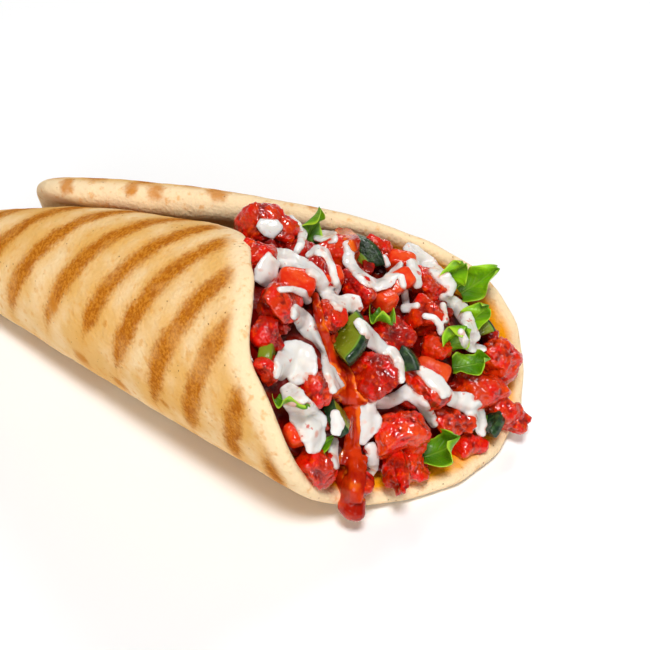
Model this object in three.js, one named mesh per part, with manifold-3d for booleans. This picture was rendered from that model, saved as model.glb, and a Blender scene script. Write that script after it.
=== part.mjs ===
// Chicken gyro: a grilled round pita rolled into a cone round spiced chicken, salad and sauces.
// Millimetres, +Z up. +X runs along the roll to its open mouth, -Y is the side of the front flap.
// The origin is below the middle of the whole gyro, on the surface that it rests on.
import * as THREE from "three";
import Module from "manifold-3d";
import { mergeVertices } from "three/addons/utils/BufferGeometryUtils.js";

// Pita: a flat round whose outline is given by its radius every 30 degrees, from the tip of the mouth
// round by the back flap, the tail and the front flap. The back corner of the tail is pulled in, the front
// flap's edge has a shallow notch, and the back flap's rim is puffed up on its inner side.
const BREAD_THICKNESS = 7;
const RIM_DEPTH = 7;
const OUTLINE_RADII = [102, 104, 88, 78, 88, 106, 93, 118, 114, 110, 100, 86];
const TAIL_CORNER = { depth: 26, at: 163, width: 17 };
const FLAP_NOTCH = { depth: 4, at: 290, width: 7 };
const RIM_PUFF = { depth: 4.8, at: 112, width: 34, full: 9, gone: 24 };
const OUTLINE_STEPS = 72;
const TAIL_CROWDING = 0.42;
const FACE_RINGS = 8;
const RIM_RINGS = [RIM_DEPTH, 3.6, 0.9];

// Roll: the round bends about lines through one apex behind the tail. Each flap has a bend per radian
// at its start, its growth, a change near its end, the half width of its flat base and its flare.
// The front flap curls in further towards the mouth. Its own weight presses the underside flat.
const APEX_TO_CENTRE = 127.6;
const CENTRE_ANGLE = -0.08;
const FRONT_FLAP = { bend: 4.3, growth: 0.68, change: 1.33, changeFrom: 0.7, flat: 0.138, flare: -0.18 };
const BACK_FLAP = { bend: 5.7, growth: -1.24, change: -1.75, changeFrom: 0.5, flat: -0.021, flare: -0.404 };
const FLAP_CURL = { bend: 1.6, near: 85, far: 160, from: 0.55, span: 0.25 };
const BEND_STEP = 0.01;
const BEND_FADE = 0.03;
const CHANGE_SPAN = 0.3;
const FLARE_FROM = 150;
const FLARE_SPAN = 100;
const FLARE_LIMITS = [0.2, 3];
const REST_PRESS = 0.6;
const APEX = new THREE.Vector3(-135.08, 18.45, BREAD_THICKNESS / 2 - REST_PRESS);

// Mouth: the plane that the filling shows in, tilted up from the roll's axis, and the mound over it.
const MOUTH_FROM_APEX = new THREE.Vector3(185, -15, 36.5);
const MOUTH_TILT = 32;
const MOUND = { top: 9.9, along: -0.093, across: -0.023, along2: -0.0072, twist: 0.0104, across2: -0.0047 };
const CLEARANCE = 0.3;
const SALAD_CLEARANCE = 0.5;

// Filling core: a plug of oval sections inside the roll and a lens under the mound.
// Section columns: distance from the apex, sideways, up, half width, half height.
const PLUG_SECTIONS = [
  [72, -16, 20, 8, 8],
  [102, -22, 22, 14, 15],
  [130, -17, 22, 27, 15],
  [155, -14, 27, 35, 20],
  [180, -14, 24, 37, 18],
  [200, -12, 16, 30, 10],
];
const PLUG_SIDES = 20;
const PLUG_TIPS = [-4, 3];
const LENS_SIDES = 24;
const LENS_FROM = -100;
const LENS_TO = 90;
const LENS_INSET = 8;
const LENS_GAP = 1;
const LENS_SINK = 4;
const LENS_DEPTH = 30;
const LENS_RINGS = [0.8, 0.45];

// Chicken pieces. Columns: along the mouth, across it, lift above the mound, length, width, turn.
const CHICKEN = [
  [-40, 7, 3, 20, 15, 20],
  [-21, -3, 3, 15, 13, -40],
  [-29, 5, 1, 11, 10, 0],
  [-21, 15, 3, 15, 12, 30],
  [-11, 27, 2, 11, 10, 0],
  [-10, 2, 2, 16, 11, -30],
  [-24, -26, 3, 16, 13, 35],
  [-11, -16, 3, 12, 9, -50],
  [9, 28, 2, 15, 12, 10],
  [13, 16, 3, 14, 13, 60],
  [20, 10, 2, 11, 10, 0],
  [6, 0, 0, 17, 13, 40],
  [11, -16, 5, 18, 15, -10],
  [25, -4, 4, 17, 9, 5],
  [28, -16, 3, 18, 14, 30],
  [39, 1, 3, 15, 11, 40],
  [48, 3, 2, 15, 11, 15],
  [39, 27, 3, 16, 14, 60],
  [40, 15, 3, 21, 12, 45],
  [49, 18, 4, 11, 9, 0],
  [54.5, 19, 6.5, 11, 10, 40],
  [0, -35, 3, 13, 9, -60],
  [15, -44, 2, 13, 12, 20],
  [28, -35, 3, 12, 10, -60],
  [33, -23, 5, 24, 8, -58],
  [37, -18, 2, 13, 10, 30],
  [-15, -44, 1, 8, 7, 0],
  [-21, -35, 0, 11, 9, 0],
  [-37, -13, 2, 12, 10, -30],
];
const CHICKEN_THICKNESS = 0.82;
const CHICKEN_ROUGHNESS = 0.16;
const CHICKEN_ROOT = 1.8;
const CHICKEN_TIP = 20;
const CHICKEN_SMALL = 12.5;

// Sauces: strands through places along and across the mouth, each with its radius.
const YOGHURT = [
  { radius: 2.0, places: [[-42, 8], [-38, 0]] },
  { radius: 1.8, places: [[-34, 11], [-31, 5], [-29, 0]] },
  { radius: 2.4, places: [[-34, -20], [-31, -17], [-28, -11], [-22, -4], [-17, -6], [-13, -8], [-8, -9]] },
  { radius: 2.0, places: [[-26, 17], [-19, 15], [-14, 10], [-9, 8], [-3, 13], [-2, 23]] },
  { radius: 2.4, places: [[-5, 33], [1, 33], [7, 32], [13, 30], [19, 26], [27, 24]] },
  { radius: 2.3, places: [[-20, -26], [-14, -26], [-7, -27], [0, -29], [5, -30]] },
  { radius: 4.0, places: [[-13, -37], [-9, -39], [-4, -41]] },
  { radius: 3.0, places: [[-3, -42], [2, -43], [8, -44]] },
  { radius: 2.4, places: [[1, -10], [6, -9], [12, -6], [17, -9], [21, -15], [17, -22], [15, -26]] },
  { radius: 2.4, places: [[20, -12], [26, -9], [34, -7]] },
  { radius: 2.4, places: [[21, -3], [27, 1], [33, 3], [40, 7], [47, 8]] },
  { radius: 2.0, places: [[24, -30], [29, -31]] },
  { radius: 1.8, places: [[4, 8], [9, 9], [17, 13]] },
];
const HOT_SAUCE = [
  { radius: 1.8, places: [[-18, -15], [-10, -21], [-3, -26], [5, -25]] },
  { radius: 2.8, places: [[5, -25], [11, -27], [15, -32], [20, -36], [26, -38], [32, -40]] },
];
const STRAND_SIDES = 5;
const STRAND_STEP = 4.6;
const STRAND_SINK = 0.25;
const STRAND_TIP = 0.6;

// Drop of hot sauce that hangs over the lip. Columns: inside the rim, out from the bread, fall, radius.
const DRIP_DIRECTION = -31;
const DRIP = [
  [14, -5.5, 0, 2.6],
  [8, -5.5, 0, 3.4],
  [3, -4.5, 0, 3.8],
  [-1.5, -2, 0, 4.0],
  [-2.5, 1, 0.3, 4.6],
  [-2.5, 1.5, 0.8, 4],
];

// Salad. Columns of a leaf: along, across, lift, length, width, turn, rise, curl, how pointed it is.
const LETTUCE = [
  [-30, 16, 0, 12, 10, 140, 62, 10, 0.85],
  [17, 35, 2, 15, 11, 60, 58, 25, 0.3],
  [11.5, 31.5, 1, 12, 9, 110, 50, 60, 0],
  [23.5, 24.5, 1, 11, 8, 70, 50, 40, 0],
  [23.5, 12, 2, 12, 9, 130, 50, 70, 0],
  [28.5, 10, 2, 12, 8, 35, 30, 40, 0],
  [39, -12.5, 2, 15, 11, 40, 40, 75, 0],
  [-1, -1.5, 1.5, 9, 7, -30, 30, 30, 0],
  [-7.5, -46, 1, 12, 7, -20, 35, 30, 0],
  [11.2, -45, 0, 10, 5, 81, 15, 20, 0.5],
];
const LEAF_THICKNESS = 1.1;
const LEAF_CUP = 1.6;
const LEAF_RUFFLE = 0.9;
const LEAF_CELLS = [6, 4];
const LEAF_WAVES = 3.2;
const LEAF_SKEW = 1.4;
const LEAF_BASE = 0.12;
const LEAF_TAPER = 0.8;

// Columns of a cucumber piece: along, across, lift, radius, thickness, arc, turn, tip.
const CUCUMBER = [
  [-2, -16, 3.5, 13, 4, 95, 20, 50],
  [-17.5, -37, -2.5, 10, 4, 100, 200, 50],
  [49.5, 11, 5, 11, 3.6, 60, 10, 70],
  [27.5, 28.5, 3, 9, 4, 60, 90, 40],
  [15.5, -4.5, 3, 9, 4, 60, 70, 60],
  [10, -34, 3, 9, 4, 80, 240, 30],
  [-14, 22.5, 2, 11, 4, 80, 90, 60],
];
const CUCUMBER_INNER = 0.25;
const CUCUMBER_MIDDLE = 0.62;
const CUCUMBER_STEPS = 6;

// Columns of a tomato dice: along, across, lift, length, width, height, turn, tip.
const TOMATO = [
  [4.2, -44.2, 0, 9, 7, 6.5, 60, 20],
  [-24.5, -14.5, 3, 11, 8, 6, 30, 15],
  [-18, -2.5, 3, 8, 6, 6, 50, 25],
  [-3.5, 29, 2, 9, 6, 7, 20, 20],
  [-1, 15, 4.5, 10, 6.5, 6, 70, 30],
  [-2, 5.5, 3, 9, 6.5, 6, -20, 20],
  [24, 1, 3, 11, 9, 6, 10, 20],
];
const DICE_ROUNDING = 0.18;

const FINISH = {
  pita: { color: 0xe9c48c, roughness: 0.85, metalness: 0 },
  filling: { color: 0xc92a14, roughness: 0.35, metalness: 0 },
  lettuce: { color: 0x6fae2a, roughness: 0.5, metalness: 0 },
  cucumber: { color: 0x5f8f3a, roughness: 0.4, metalness: 0 },
  tomato: { color: 0xd94a2b, roughness: 0.3, metalness: 0 },
};

const SEED = 412;

const { degToRad, clamp, smoothstep } = THREE.MathUtils;
const wasm = await Module();
wasm.setup();

function seededRandom(seed) {
  let state = seed >>> 0;
  return () => {
    state = (state + 0x6d2b79f5) >>> 0;
    let mixed = Math.imul(state ^ (state >>> 15), state | 1);
    mixed ^= mixed + Math.imul(mixed ^ (mixed >>> 7), mixed | 61);
    return ((mixed ^ (mixed >>> 14)) >>> 0) / 4294967296;
  };
}

// How strongly a local feature of the round shows in a direction, 1 at its middle.
function nearness({ at, width }, direction) {
  const away = (THREE.MathUtils.euclideanModulo(direction, 2 * Math.PI) - degToRad(at)) / degToRad(width);
  return Math.exp(-away * away);
}

// Radius of the flat round in a direction, through the given radii.
function outlineRadius(direction) {
  const count = OUTLINE_RADII.length;
  const place = THREE.MathUtils.euclideanModulo(direction / (2 * Math.PI), 1) * count;
  const first = Math.floor(place);
  const part = place - first;
  const [a, b, c, d] = [-1, 0, 1, 2].map((shift) => OUTLINE_RADII[(first + shift + count) % count]);
  const slope = (c - a) / 2;
  const nextSlope = (d - b) / 2;
  const bend = 2 * (b - c) + slope + nextSlope;
  const turn = 3 * (c - b) - 2 * slope - nextSlope;
  const radius = b + part * (slope + part * (turn + part * bend));
  const dents = [TAIL_CORNER, FLAP_NOTCH].map((dent) => dent.depth * nearness(dent, direction));
  return radius - dents[0] - dents[1];
}

// Directions round the outline, closer together at the tail where the roll is tightest.
function outlineDirection(step) {
  const turn = (2 * Math.PI * step) / OUTLINE_STEPS;
  return turn + TAIL_CROWDING * Math.sin(turn);
}

function bendAt(flap, angle) {
  const steady = flap.bend + flap.growth * angle;
  const late = flap.change * smoothstep(angle, flap.changeFrom, flap.changeFrom + CHANGE_SPAN);
  return (steady + late) * smoothstep(angle, flap.flat - BEND_FADE, flap.flat + BEND_FADE);
}

// Carries a point of the flat round to its place in the roll, with the direction out of the roll.
function roll(along, across) {
  const x = APEX_TO_CENTRE * Math.cos(CENTRE_ANGLE) + along;
  const y = APEX_TO_CENTRE * Math.sin(CENTRE_ANGLE) + across;
  const reach = Math.hypot(x, y);
  const angle = Math.atan2(y, x);
  const flap = angle < 0 ? FRONT_FLAP : BACK_FLAP;
  const flare = clamp(1 - (flap.flare * (reach - FLARE_FROM)) / FLARE_SPAN, ...FLARE_LIMITS);
  const curl = angle < 0 ? FLAP_CURL.bend * smoothstep(reach, FLAP_CURL.near, FLAP_CURL.far) : 0;
  const line = new THREE.Vector3(1, 0, 0);
  const side = new THREE.Vector3(0, 1, 0);
  const inward = new THREE.Vector3(0, 0, 1);
  for (let done = 0; done < Math.abs(angle); done += BEND_STEP) {
    const step = Math.min(BEND_STEP, Math.abs(angle) - done);
    const turned = side.clone().addScaledVector(line, -step);
    const curled = curl * smoothstep(done, FLAP_CURL.from, FLAP_CURL.from + FLAP_CURL.span);
    turned.addScaledVector(inward, step * (bendAt(flap, done) + curled) * flare);
    line.addScaledVector(side, step).normalize();
    side.copy(turned).addScaledVector(line, -turned.dot(line)).normalize();
    inward.crossVectors(line, side);
  }
  const mirror = new THREE.Vector3(1, angle < 0 ? -1 : 1, 1);
  const point = line.multiply(mirror).multiplyScalar(reach).add(APEX);
  return { point, outward: inward.multiply(mirror).negate() };
}

function rollPolar(direction, radius) {
  return roll(radius * Math.cos(direction), radius * Math.sin(direction));
}

function meshGeometry(points, triangles) {
  const geometry = new THREE.BufferGeometry();
  const places = points.flatMap((point) => [point.x, point.y, point.z]);
  geometry.setAttribute("position", new THREE.Float32BufferAttribute(places, 3));
  geometry.setIndex(triangles.flat());
  return geometry;
}

// Triangles between two closed rings of equal count, by the index of each ring's first point.
// A crossed cell is split along its other diagonal.
function ringStrip(first, second, count, isCrossed = () => false) {
  const triangles = [];
  for (let i = 0; i < count; i += 1) {
    const next = (i + 1) % count;
    const [a, b, c, d] = [first + i, second + i, second + next, first + next];
    triangles.push(...(isCrossed(i) ? [[a, b, d], [b, c, d]] : [[a, b, c], [a, c, d]]));
  }
  return triangles;
}

function ringFan(tip, first, count) {
  return Array.from({ length: count }, (_, i) => [tip, first + i, first + ((i + 1) % count)]);
}

function flipped(triangles) {
  return triangles.map(([a, b, c]) => [a, c, b]);
}

// Half the bread's thickness at a depth inside its rounded rim.
function halfThickness(depth) {
  const rounding = 1 - clamp(depth / RIM_DEPTH, 0, 1);
  return (BREAD_THICKNESS / 2) * Math.sqrt(1 - rounding * rounding);
}

// Extra thickness of the puffed rim in a direction, at a depth inside it.
function puffAt(direction, depth) {
  const inside = smoothstep(depth, RIM_PUFF.full, RIM_PUFF.gone);
  return RIM_PUFF.depth * nearness(RIM_PUFF, direction) * (1 - inside);
}

// A place on the pita's outer face (1), its rim (0) or its inner face (-1), at a depth inside its rim.
function pitaPoint(direction, edge, depth, face) {
  const place = rollPolar(direction, edge - depth);
  const puff = puffAt(direction, depth);
  const out = face * halfThickness(depth) * (1 + puff / BREAD_THICKNESS) - puff / 2;
  const point = place.point.addScaledVector(place.outward, out);
  return point.setZ(Math.max(point.z, 0));
}

// Whether bend lines cross a cell of the round from its later, nearer corner to its earlier, farther one.
function bendsBackwards(direction, radius) {
  return Math.sin(direction) * (radius + APEX_TO_CENTRE * Math.cos(direction)) > 0;
}

// Depths of the pita's rings inside its outline, from the middle of the face to the rim.
function ringDepths(edge) {
  const shares = Array.from({ length: FACE_RINGS }, (_, i) => (i + 1) / (FACE_RINGS + 1));
  return [...shares.map((share) => edge - share * (edge - RIM_DEPTH)), ...RIM_RINGS];
}

// The pita as one closed sheet, both faces and the rounded rim.
// Its cells are split along the bend lines, the same way on both faces.
function pitaGeometry() {
  const spokes = Array.from({ length: OUTLINE_STEPS }, (_, i) => {
    const direction = outlineDirection(i);
    const edge = outlineRadius(direction);
    return { direction, edge, depths: ringDepths(edge) };
  });
  const ringCount = FACE_RINGS + RIM_RINGS.length;
  const rimStart = 2 * (1 + ringCount * OUTLINE_STEPS);
  const points = [];
  const triangles = [];
  for (const face of [1, -1]) {
    const start = points.length;
    points.push(pitaPoint(0, OUTLINE_RADII[0], OUTLINE_RADII[0], face));
    const strips = ringFan(start, start + 1, OUTLINE_STEPS);
    for (let ring = 0; ring < ringCount; ring += 1) {
      for (const { direction, edge, depths } of spokes) {
        points.push(pitaPoint(direction, edge, depths[ring], face));
      }
      const first = start + 1 + ring * OUTLINE_STEPS;
      const second = ring + 1 < ringCount ? first + OUTLINE_STEPS : rimStart;
      const radiusAt = (i) => spokes[i].edge - spokes[i].depths[ring];
      const isCrossed = (i) => bendsBackwards(outlineDirection(i + 0.5), radiusAt(i));
      strips.push(...ringStrip(first, second, OUTLINE_STEPS, isCrossed));
    }
    triangles.push(...(face > 0 ? flipped(strips) : strips));
  }
  for (const { direction, edge } of spokes) {
    points.push(pitaPoint(direction, edge, 0, 0));
  }
  return meshGeometry(points, triangles);
}

// Mouth frame: along runs down to the lip, across to the back, up out of the filling.
const tilt = degToRad(MOUTH_TILT);
const mouth = new THREE.Matrix4().makeBasis(
  new THREE.Vector3(Math.cos(tilt), 0, -Math.sin(tilt)),
  new THREE.Vector3(0, 1, 0),
  new THREE.Vector3(Math.sin(tilt), 0, Math.cos(tilt)),
).setPosition(MOUTH_FROM_APEX.clone().add(APEX));

function moundHeight(along, across) {
  const { top, along2, twist, across2 } = MOUND;
  const straight = top + MOUND.along * along + MOUND.across * across;
  return straight + along2 * along * along + twist * along * across + across2 * across * across;
}

function toMouth(point) {
  return point.clone().applyMatrix4(mouth.clone().invert());
}

// A closed body through rings of equal count, with a tip at each end.
function loftGeometry(firstTip, rings, lastTip) {
  const count = rings[0].length;
  const points = [firstTip, ...rings.flat(), lastTip];
  const triangles = flipped(ringFan(0, 1, count));
  for (let ring = 0; ring + 1 < rings.length; ring += 1) {
    triangles.push(...flipped(ringStrip(1 + ring * count, 1 + (ring + 1) * count, count)));
  }
  triangles.push(...ringFan(points.length - 1, 1 + (rings.length - 1) * count, count));
  return meshGeometry(points, triangles);
}

function plugGeometry() {
  const rings = PLUG_SECTIONS.map(([reach, sideways, up, halfWidth, halfHeight]) =>
    Array.from({ length: PLUG_SIDES }, (_, i) => {
      const angle = (2 * Math.PI * i) / PLUG_SIDES;
      const across = sideways + halfWidth * Math.cos(angle);
      return new THREE.Vector3(reach, across, up + halfHeight * Math.sin(angle)).add(APEX);
    }));
  const tips = [PLUG_SECTIONS[0], PLUG_SECTIONS.at(-1)].map(([reach, sideways, up], end) =>
    new THREE.Vector3(reach + PLUG_TIPS[end], sideways, up).add(APEX));
  return loftGeometry(tips[0], rings, tips[1]);
}

function lensGeometry() {
  const loop = Array.from({ length: LENS_SIDES }, (_, i) => {
    const direction = degToRad(LENS_FROM + ((LENS_TO - LENS_FROM) * i) / (LENS_SIDES - 1));
    const wall = rollPolar(direction, outlineRadius(direction) - LENS_INSET);
    return toMouth(wall.point.addScaledVector(wall.outward, -BREAD_THICKNESS / 2 - LENS_GAP));
  });
  const middle = loop.reduce((sum, point) => sum.add(point), new THREE.Vector3()).divideScalar(LENS_SIDES);
  const ringAt = (share, depth) => loop.map((point) => {
    const along = middle.x + share * (point.x - middle.x);
    const across = middle.y + share * (point.y - middle.y);
    const up = moundHeight(along, across) - LENS_SINK - depth * (1 - share ** 3);
    return new THREE.Vector3(along, across, up).applyMatrix4(mouth);
  });
  const upper = LENS_RINGS.map((share) => ringAt(share, 0));
  const lower = LENS_RINGS.map((share) => ringAt(share, LENS_DEPTH)).reverse();
  const tips = [LENS_DEPTH, 0].map((depth) => ringAt(0, depth)[0]);
  return loftGeometry(tips[0], [...lower, ringAt(1, 0), ...upper], tips[1]);
}

// Places a body made about its own origin on the mouth: turned in its plane, tipped, then lifted.
function placeOnMouth(geometry, along, across, lift, turn, tip) {
  const angles = new THREE.Euler(0, -degToRad(tip), degToRad(turn), "ZYX");
  const turned = new THREE.Matrix4().makeRotationFromEuler(angles);
  turned.setPosition(along, across, moundHeight(along, across) + lift);
  return geometry.applyMatrix4(turned).applyMatrix4(mouth);
}

function bare(geometry) {
  geometry.deleteAttribute("normal");
  geometry.deleteAttribute("uv");
  return mergeVertices(geometry, 1e-4);
}

function chickenGeometry([along, across, lift, length, width, turn], random) {
  const isSmall = length < CHICKEN_SMALL;
  const lump = bare(isSmall ? new THREE.DodecahedronGeometry(1) : new THREE.IcosahedronGeometry(1, 1));
  const places = lump.getAttribute("position");
  for (let i = 0; i < places.count; i += 1) {
    const swell = 1 + CHICKEN_ROUGHNESS * (2 * random() - 1);
    const z = places.getZ(i);
    places.setXYZ(i, places.getX(i) * swell, places.getY(i) * swell, z * swell * (z < 0 ? CHICKEN_ROOT : 1));
  }
  lump.scale(length / 2, width / 2, (width / 2) * CHICKEN_THICKNESS);
  return placeOnMouth(lump, along, across, lift, turn, CHICKEN_TIP * (2 * random() - 1));
}

// Height of the chicken and the mound at a place on the mouth.
function heapHeight(along, across) {
  let height = moundHeight(along, across) - LENS_SINK;
  for (const [u, w, lift, length, width, turn] of CHICKEN) {
    const angle = degToRad(turn);
    const lengthwise = ((along - u) * Math.cos(angle) + (across - w) * Math.sin(angle)) / (length / 2);
    const sideways = ((across - w) * Math.cos(angle) - (along - u) * Math.sin(angle)) / (width / 2);
    const inside = 1 - lengthwise ** 2 - sideways ** 2;
    if (inside > 0) {
      const top = moundHeight(u, w) + lift + (width / 2) * CHICKEN_THICKNESS * Math.sqrt(inside);
      height = Math.max(height, top);
    }
  }
  return height;
}

// A round thread through spots, each with its own radius, ending in a tip beyond the first and last.
function threadGeometry(spots, radii) {
  const mouthUp = new THREE.Vector3().setFromMatrixColumn(mouth, 2);
  const ahead = spots.map((_, i) =>
    spots[Math.min(i + 1, spots.length - 1)].clone().sub(spots[Math.max(i - 1, 0)]).normalize());
  const rings = spots.map((spot, i) => {
    const sideways = mouthUp.clone().cross(ahead[i]).normalize();
    const above = ahead[i].clone().cross(sideways);
    return Array.from({ length: STRAND_SIDES }, (_, k) => {
      const angle = (2 * Math.PI * k) / STRAND_SIDES;
      const place = spot.clone().addScaledVector(sideways, radii[i] * Math.cos(angle));
      return place.addScaledVector(above, radii[i] * Math.sin(angle));
    });
  });
  const last = spots.length - 1;
  const firstTip = spots[0].clone().addScaledVector(ahead[0], -STRAND_TIP * radii[0]);
  const lastTip = spots[last].clone().addScaledVector(ahead[last], STRAND_TIP * radii[last]);
  return loftGeometry(firstTip, rings, lastTip);
}

// A strand of sauce that lies over the heap.
function strandGeometry({ radius, places }) {
  const stops = places.map(([along, across]) => new THREE.Vector3(along, across, 0));
  const flat = new THREE.CatmullRomCurve3(stops);
  const count = Math.max(4, Math.round(flat.getLength() / STRAND_STEP));
  const line = Array.from({ length: count + 1 }, (_, i) => flat.getPointAt(i / count));
  const heights = line.map((spot) => heapHeight(spot.x, spot.y));
  const spots = line.map((spot, i) => {
    const before = heights[Math.max(0, i - 1)];
    const after = heights[Math.min(count, i + 1)];
    const level = (before + 2 * heights[i] + after) / 4;
    return spot.clone().setZ(level - STRAND_SINK * radius).applyMatrix4(mouth);
  });
  return threadGeometry(spots, line.map((_, i) => (i === 0 || i === count ? STRAND_TIP : 1) * radius));
}

function dripGeometry() {
  const direction = degToRad(DRIP_DIRECTION);
  const edge = outlineRadius(direction);
  const spots = DRIP.map(([inside, out, fall]) => {
    const place = rollPolar(direction, edge - inside);
    const spot = place.point.addScaledVector(place.outward, out);
    spot.z -= fall;
    return spot;
  });
  return threadGeometry(spots, DRIP.map((row) => row[3]));
}

// A leaf as a thin wavy sheet, both faces split alike.
function leafGeometry([along, across, lift, length, width, turn, rise, curl, pointed], phase) {
  const [cellsLong, cellsWide] = LEAF_CELLS;
  const points = [];
  for (const face of [1, -1]) {
    for (let i = 0; i <= cellsLong; i += 1) {
      for (let j = 0; j <= cellsWide; j += 1) {
        const share = i / cellsLong;
        const sideways = (2 * j) / cellsWide - 1;
        const bent = degToRad(curl) * share;
        const rounded = Math.sqrt(Math.sin(Math.PI * (LEAF_BASE + LEAF_TAPER * share)));
        const half = (width / 2) * rounded * (1 - pointed * share);
        const turns = LEAF_WAVES * Math.PI * share + phase + LEAF_SKEW * sideways;
        const wave = LEAF_RUFFLE * Math.sin(turns) * sideways;
        const up = LEAF_CUP * sideways * sideways + wave + (face * LEAF_THICKNESS) / 2;
        const forward = share * length * Math.cos(bent / 2) - up * Math.sin(bent);
        const climb = share * length * Math.sin(bent / 2) + up * Math.cos(bent);
        points.push(new THREE.Vector3(forward, sideways * half, climb));
      }
    }
  }
  const row = cellsWide + 1;
  const faceSize = (cellsLong + 1) * row;
  const triangles = [];
  for (let i = 0; i < cellsLong; i += 1) {
    for (let j = 0; j < cellsWide; j += 1) {
      const corner = i * row + j;
      const cell = [[corner, corner + row, corner + row + 1], [corner, corner + row + 1, corner + 1]];
      triangles.push(...cell, ...flipped(cell.map((triangle) => triangle.map((index) => index + faceSize))));
    }
  }
  const edge = [];
  for (let i = 0; i < cellsLong; i += 1) edge.push(i * row);
  for (let j = 0; j < cellsWide; j += 1) edge.push(cellsLong * row + j);
  for (let i = cellsLong; i > 0; i -= 1) edge.push(i * row + cellsWide);
  for (let j = cellsWide; j > 0; j -= 1) edge.push(j);
  edge.forEach((corner, i) => {
    const next = edge[(i + 1) % edge.length];
    triangles.push([corner, corner + faceSize, next + faceSize], [corner, next + faceSize, next]);
  });
  return placeOnMouth(meshGeometry(points, triangles), along, across, lift, turn, rise);
}

// A sector cut from a cucumber slice, skin on its round side, about its own middle.
function cucumberGeometry([along, across, lift, radius, thickness, arc, turn, tip]) {
  const half = degToRad(arc) / 2;
  const inner = radius * CUCUMBER_INNER;
  const outline = new THREE.Shape();
  outline.moveTo(inner * Math.cos(half), -inner * Math.sin(half));
  outline.lineTo(radius * Math.cos(half), -radius * Math.sin(half));
  outline.absarc(0, 0, radius, -half, half, false);
  outline.lineTo(inner * Math.cos(half), inner * Math.sin(half));
  outline.closePath();
  const settings = { depth: thickness, bevelEnabled: false, curveSegments: CUCUMBER_STEPS };
  const slice = bare(new THREE.ExtrudeGeometry(outline, settings));
  slice.translate(-CUCUMBER_MIDDLE * radius, 0, -thickness / 2);
  return placeOnMouth(slice, along, across, lift, turn, tip);
}

// A dice of tomato with softened corners.
function tomatoGeometry([along, across, lift, length, width, height, turn, tip]) {
  const dice = bare(new THREE.BoxGeometry(2, 2, 2, 2, 2, 2));
  const places = dice.getAttribute("position");
  for (let i = 0; i < places.count; i += 1) {
    const corner = new THREE.Vector3().fromBufferAttribute(places, i);
    corner.multiplyScalar(1 - DICE_ROUNDING * (1 - 1 / corner.length()));
    places.setXYZ(i, corner.x, corner.y, corner.z);
  }
  dice.scale(length / 2, width / 2, height / 2);
  return placeOnMouth(dice, along, across, lift, turn, tip);
}

// A body with every corner moved out along its normal.
function grown(geometry, margin) {
  geometry.computeVertexNormals();
  const places = geometry.getAttribute("position");
  const normals = geometry.getAttribute("normal");
  for (let i = 0; i < places.count; i += 1) {
    const corner = new THREE.Vector3().fromBufferAttribute(places, i);
    corner.addScaledVector(new THREE.Vector3().fromBufferAttribute(normals, i), margin);
    places.setXYZ(i, corner.x, corner.y, corner.z);
  }
  return geometry;
}

function toSolid(geometry) {
  const vertProperties = new Float32Array(geometry.getAttribute("position").array);
  const triVerts = new Uint32Array(geometry.index.array);
  return new wasm.Manifold(new wasm.Mesh({ numProp: 3, vertProperties, triVerts }));
}

function toGeometry(solid) {
  const { vertProperties, triVerts } = solid.getMesh();
  const geometry = new THREE.BufferGeometry();
  geometry.setAttribute("position", new THREE.Float32BufferAttribute(vertProperties, 3));
  geometry.setIndex(Array.from(triVerts));
  return geometry;
}

function largestBody(solid) {
  return solid.decompose().reduce((best, body) => (body.volume() > best.volume() ? body : best));
}

function saladPieces() {
  return [
    ...LETTUCE.map((leaf, i) => [`lettuce_${i + 1}`, leafGeometry(leaf, i), FINISH.lettuce]),
    ...CUCUMBER.map((piece, i) => [`cucumber_${i + 1}`, cucumberGeometry(piece), FINISH.cucumber]),
    ...TOMATO.map((dice, i) => [`tomato_${i + 1}`, tomatoGeometry(dice), FINISH.tomato]),
  ];
}

// The filling: core, chicken and sauces in one body, cut clear of the bread and the salad.
function fillingGeometry() {
  const random = seededRandom(SEED);
  const pieces = [
    plugGeometry(),
    lensGeometry(),
    ...CHICKEN.map((piece) => chickenGeometry(piece, random)),
    ...YOGHURT.map(strandGeometry),
    ...HOT_SAUCE.map(strandGeometry),
    dripGeometry(),
  ];
  const joined = pieces.map(toSolid).reduce((sum, piece) => sum.add(piece));
  const bread = toSolid(grown(pitaGeometry(), CLEARANCE));
  const salad = saladPieces().map(([, geometry]) => toSolid(grown(geometry, SALAD_CLEARANCE)));
  const cut = [bread, ...salad].reduce((rest, cutter) => rest.subtract(cutter), joined);
  return toGeometry(largestBody(cut));
}

const gyro = new THREE.Group();

function addPiece(name, geometry, finish) {
  geometry.computeVertexNormals();
  const piece = new THREE.Mesh(geometry, new THREE.MeshStandardMaterial(finish));
  piece.name = name;
  gyro.add(piece);
}

addPiece("pita", pitaGeometry(), FINISH.pita);
addPiece("chicken_filling", fillingGeometry(), FINISH.filling);
saladPieces().forEach((piece) => addPiece(...piece));

export default gyro;
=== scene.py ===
import math

import bmesh
import bpy
import numpy as np
from mathutils import Color, Euler, Matrix, Vector, noise
from mathutils.bvhtree import BVHTree


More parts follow.
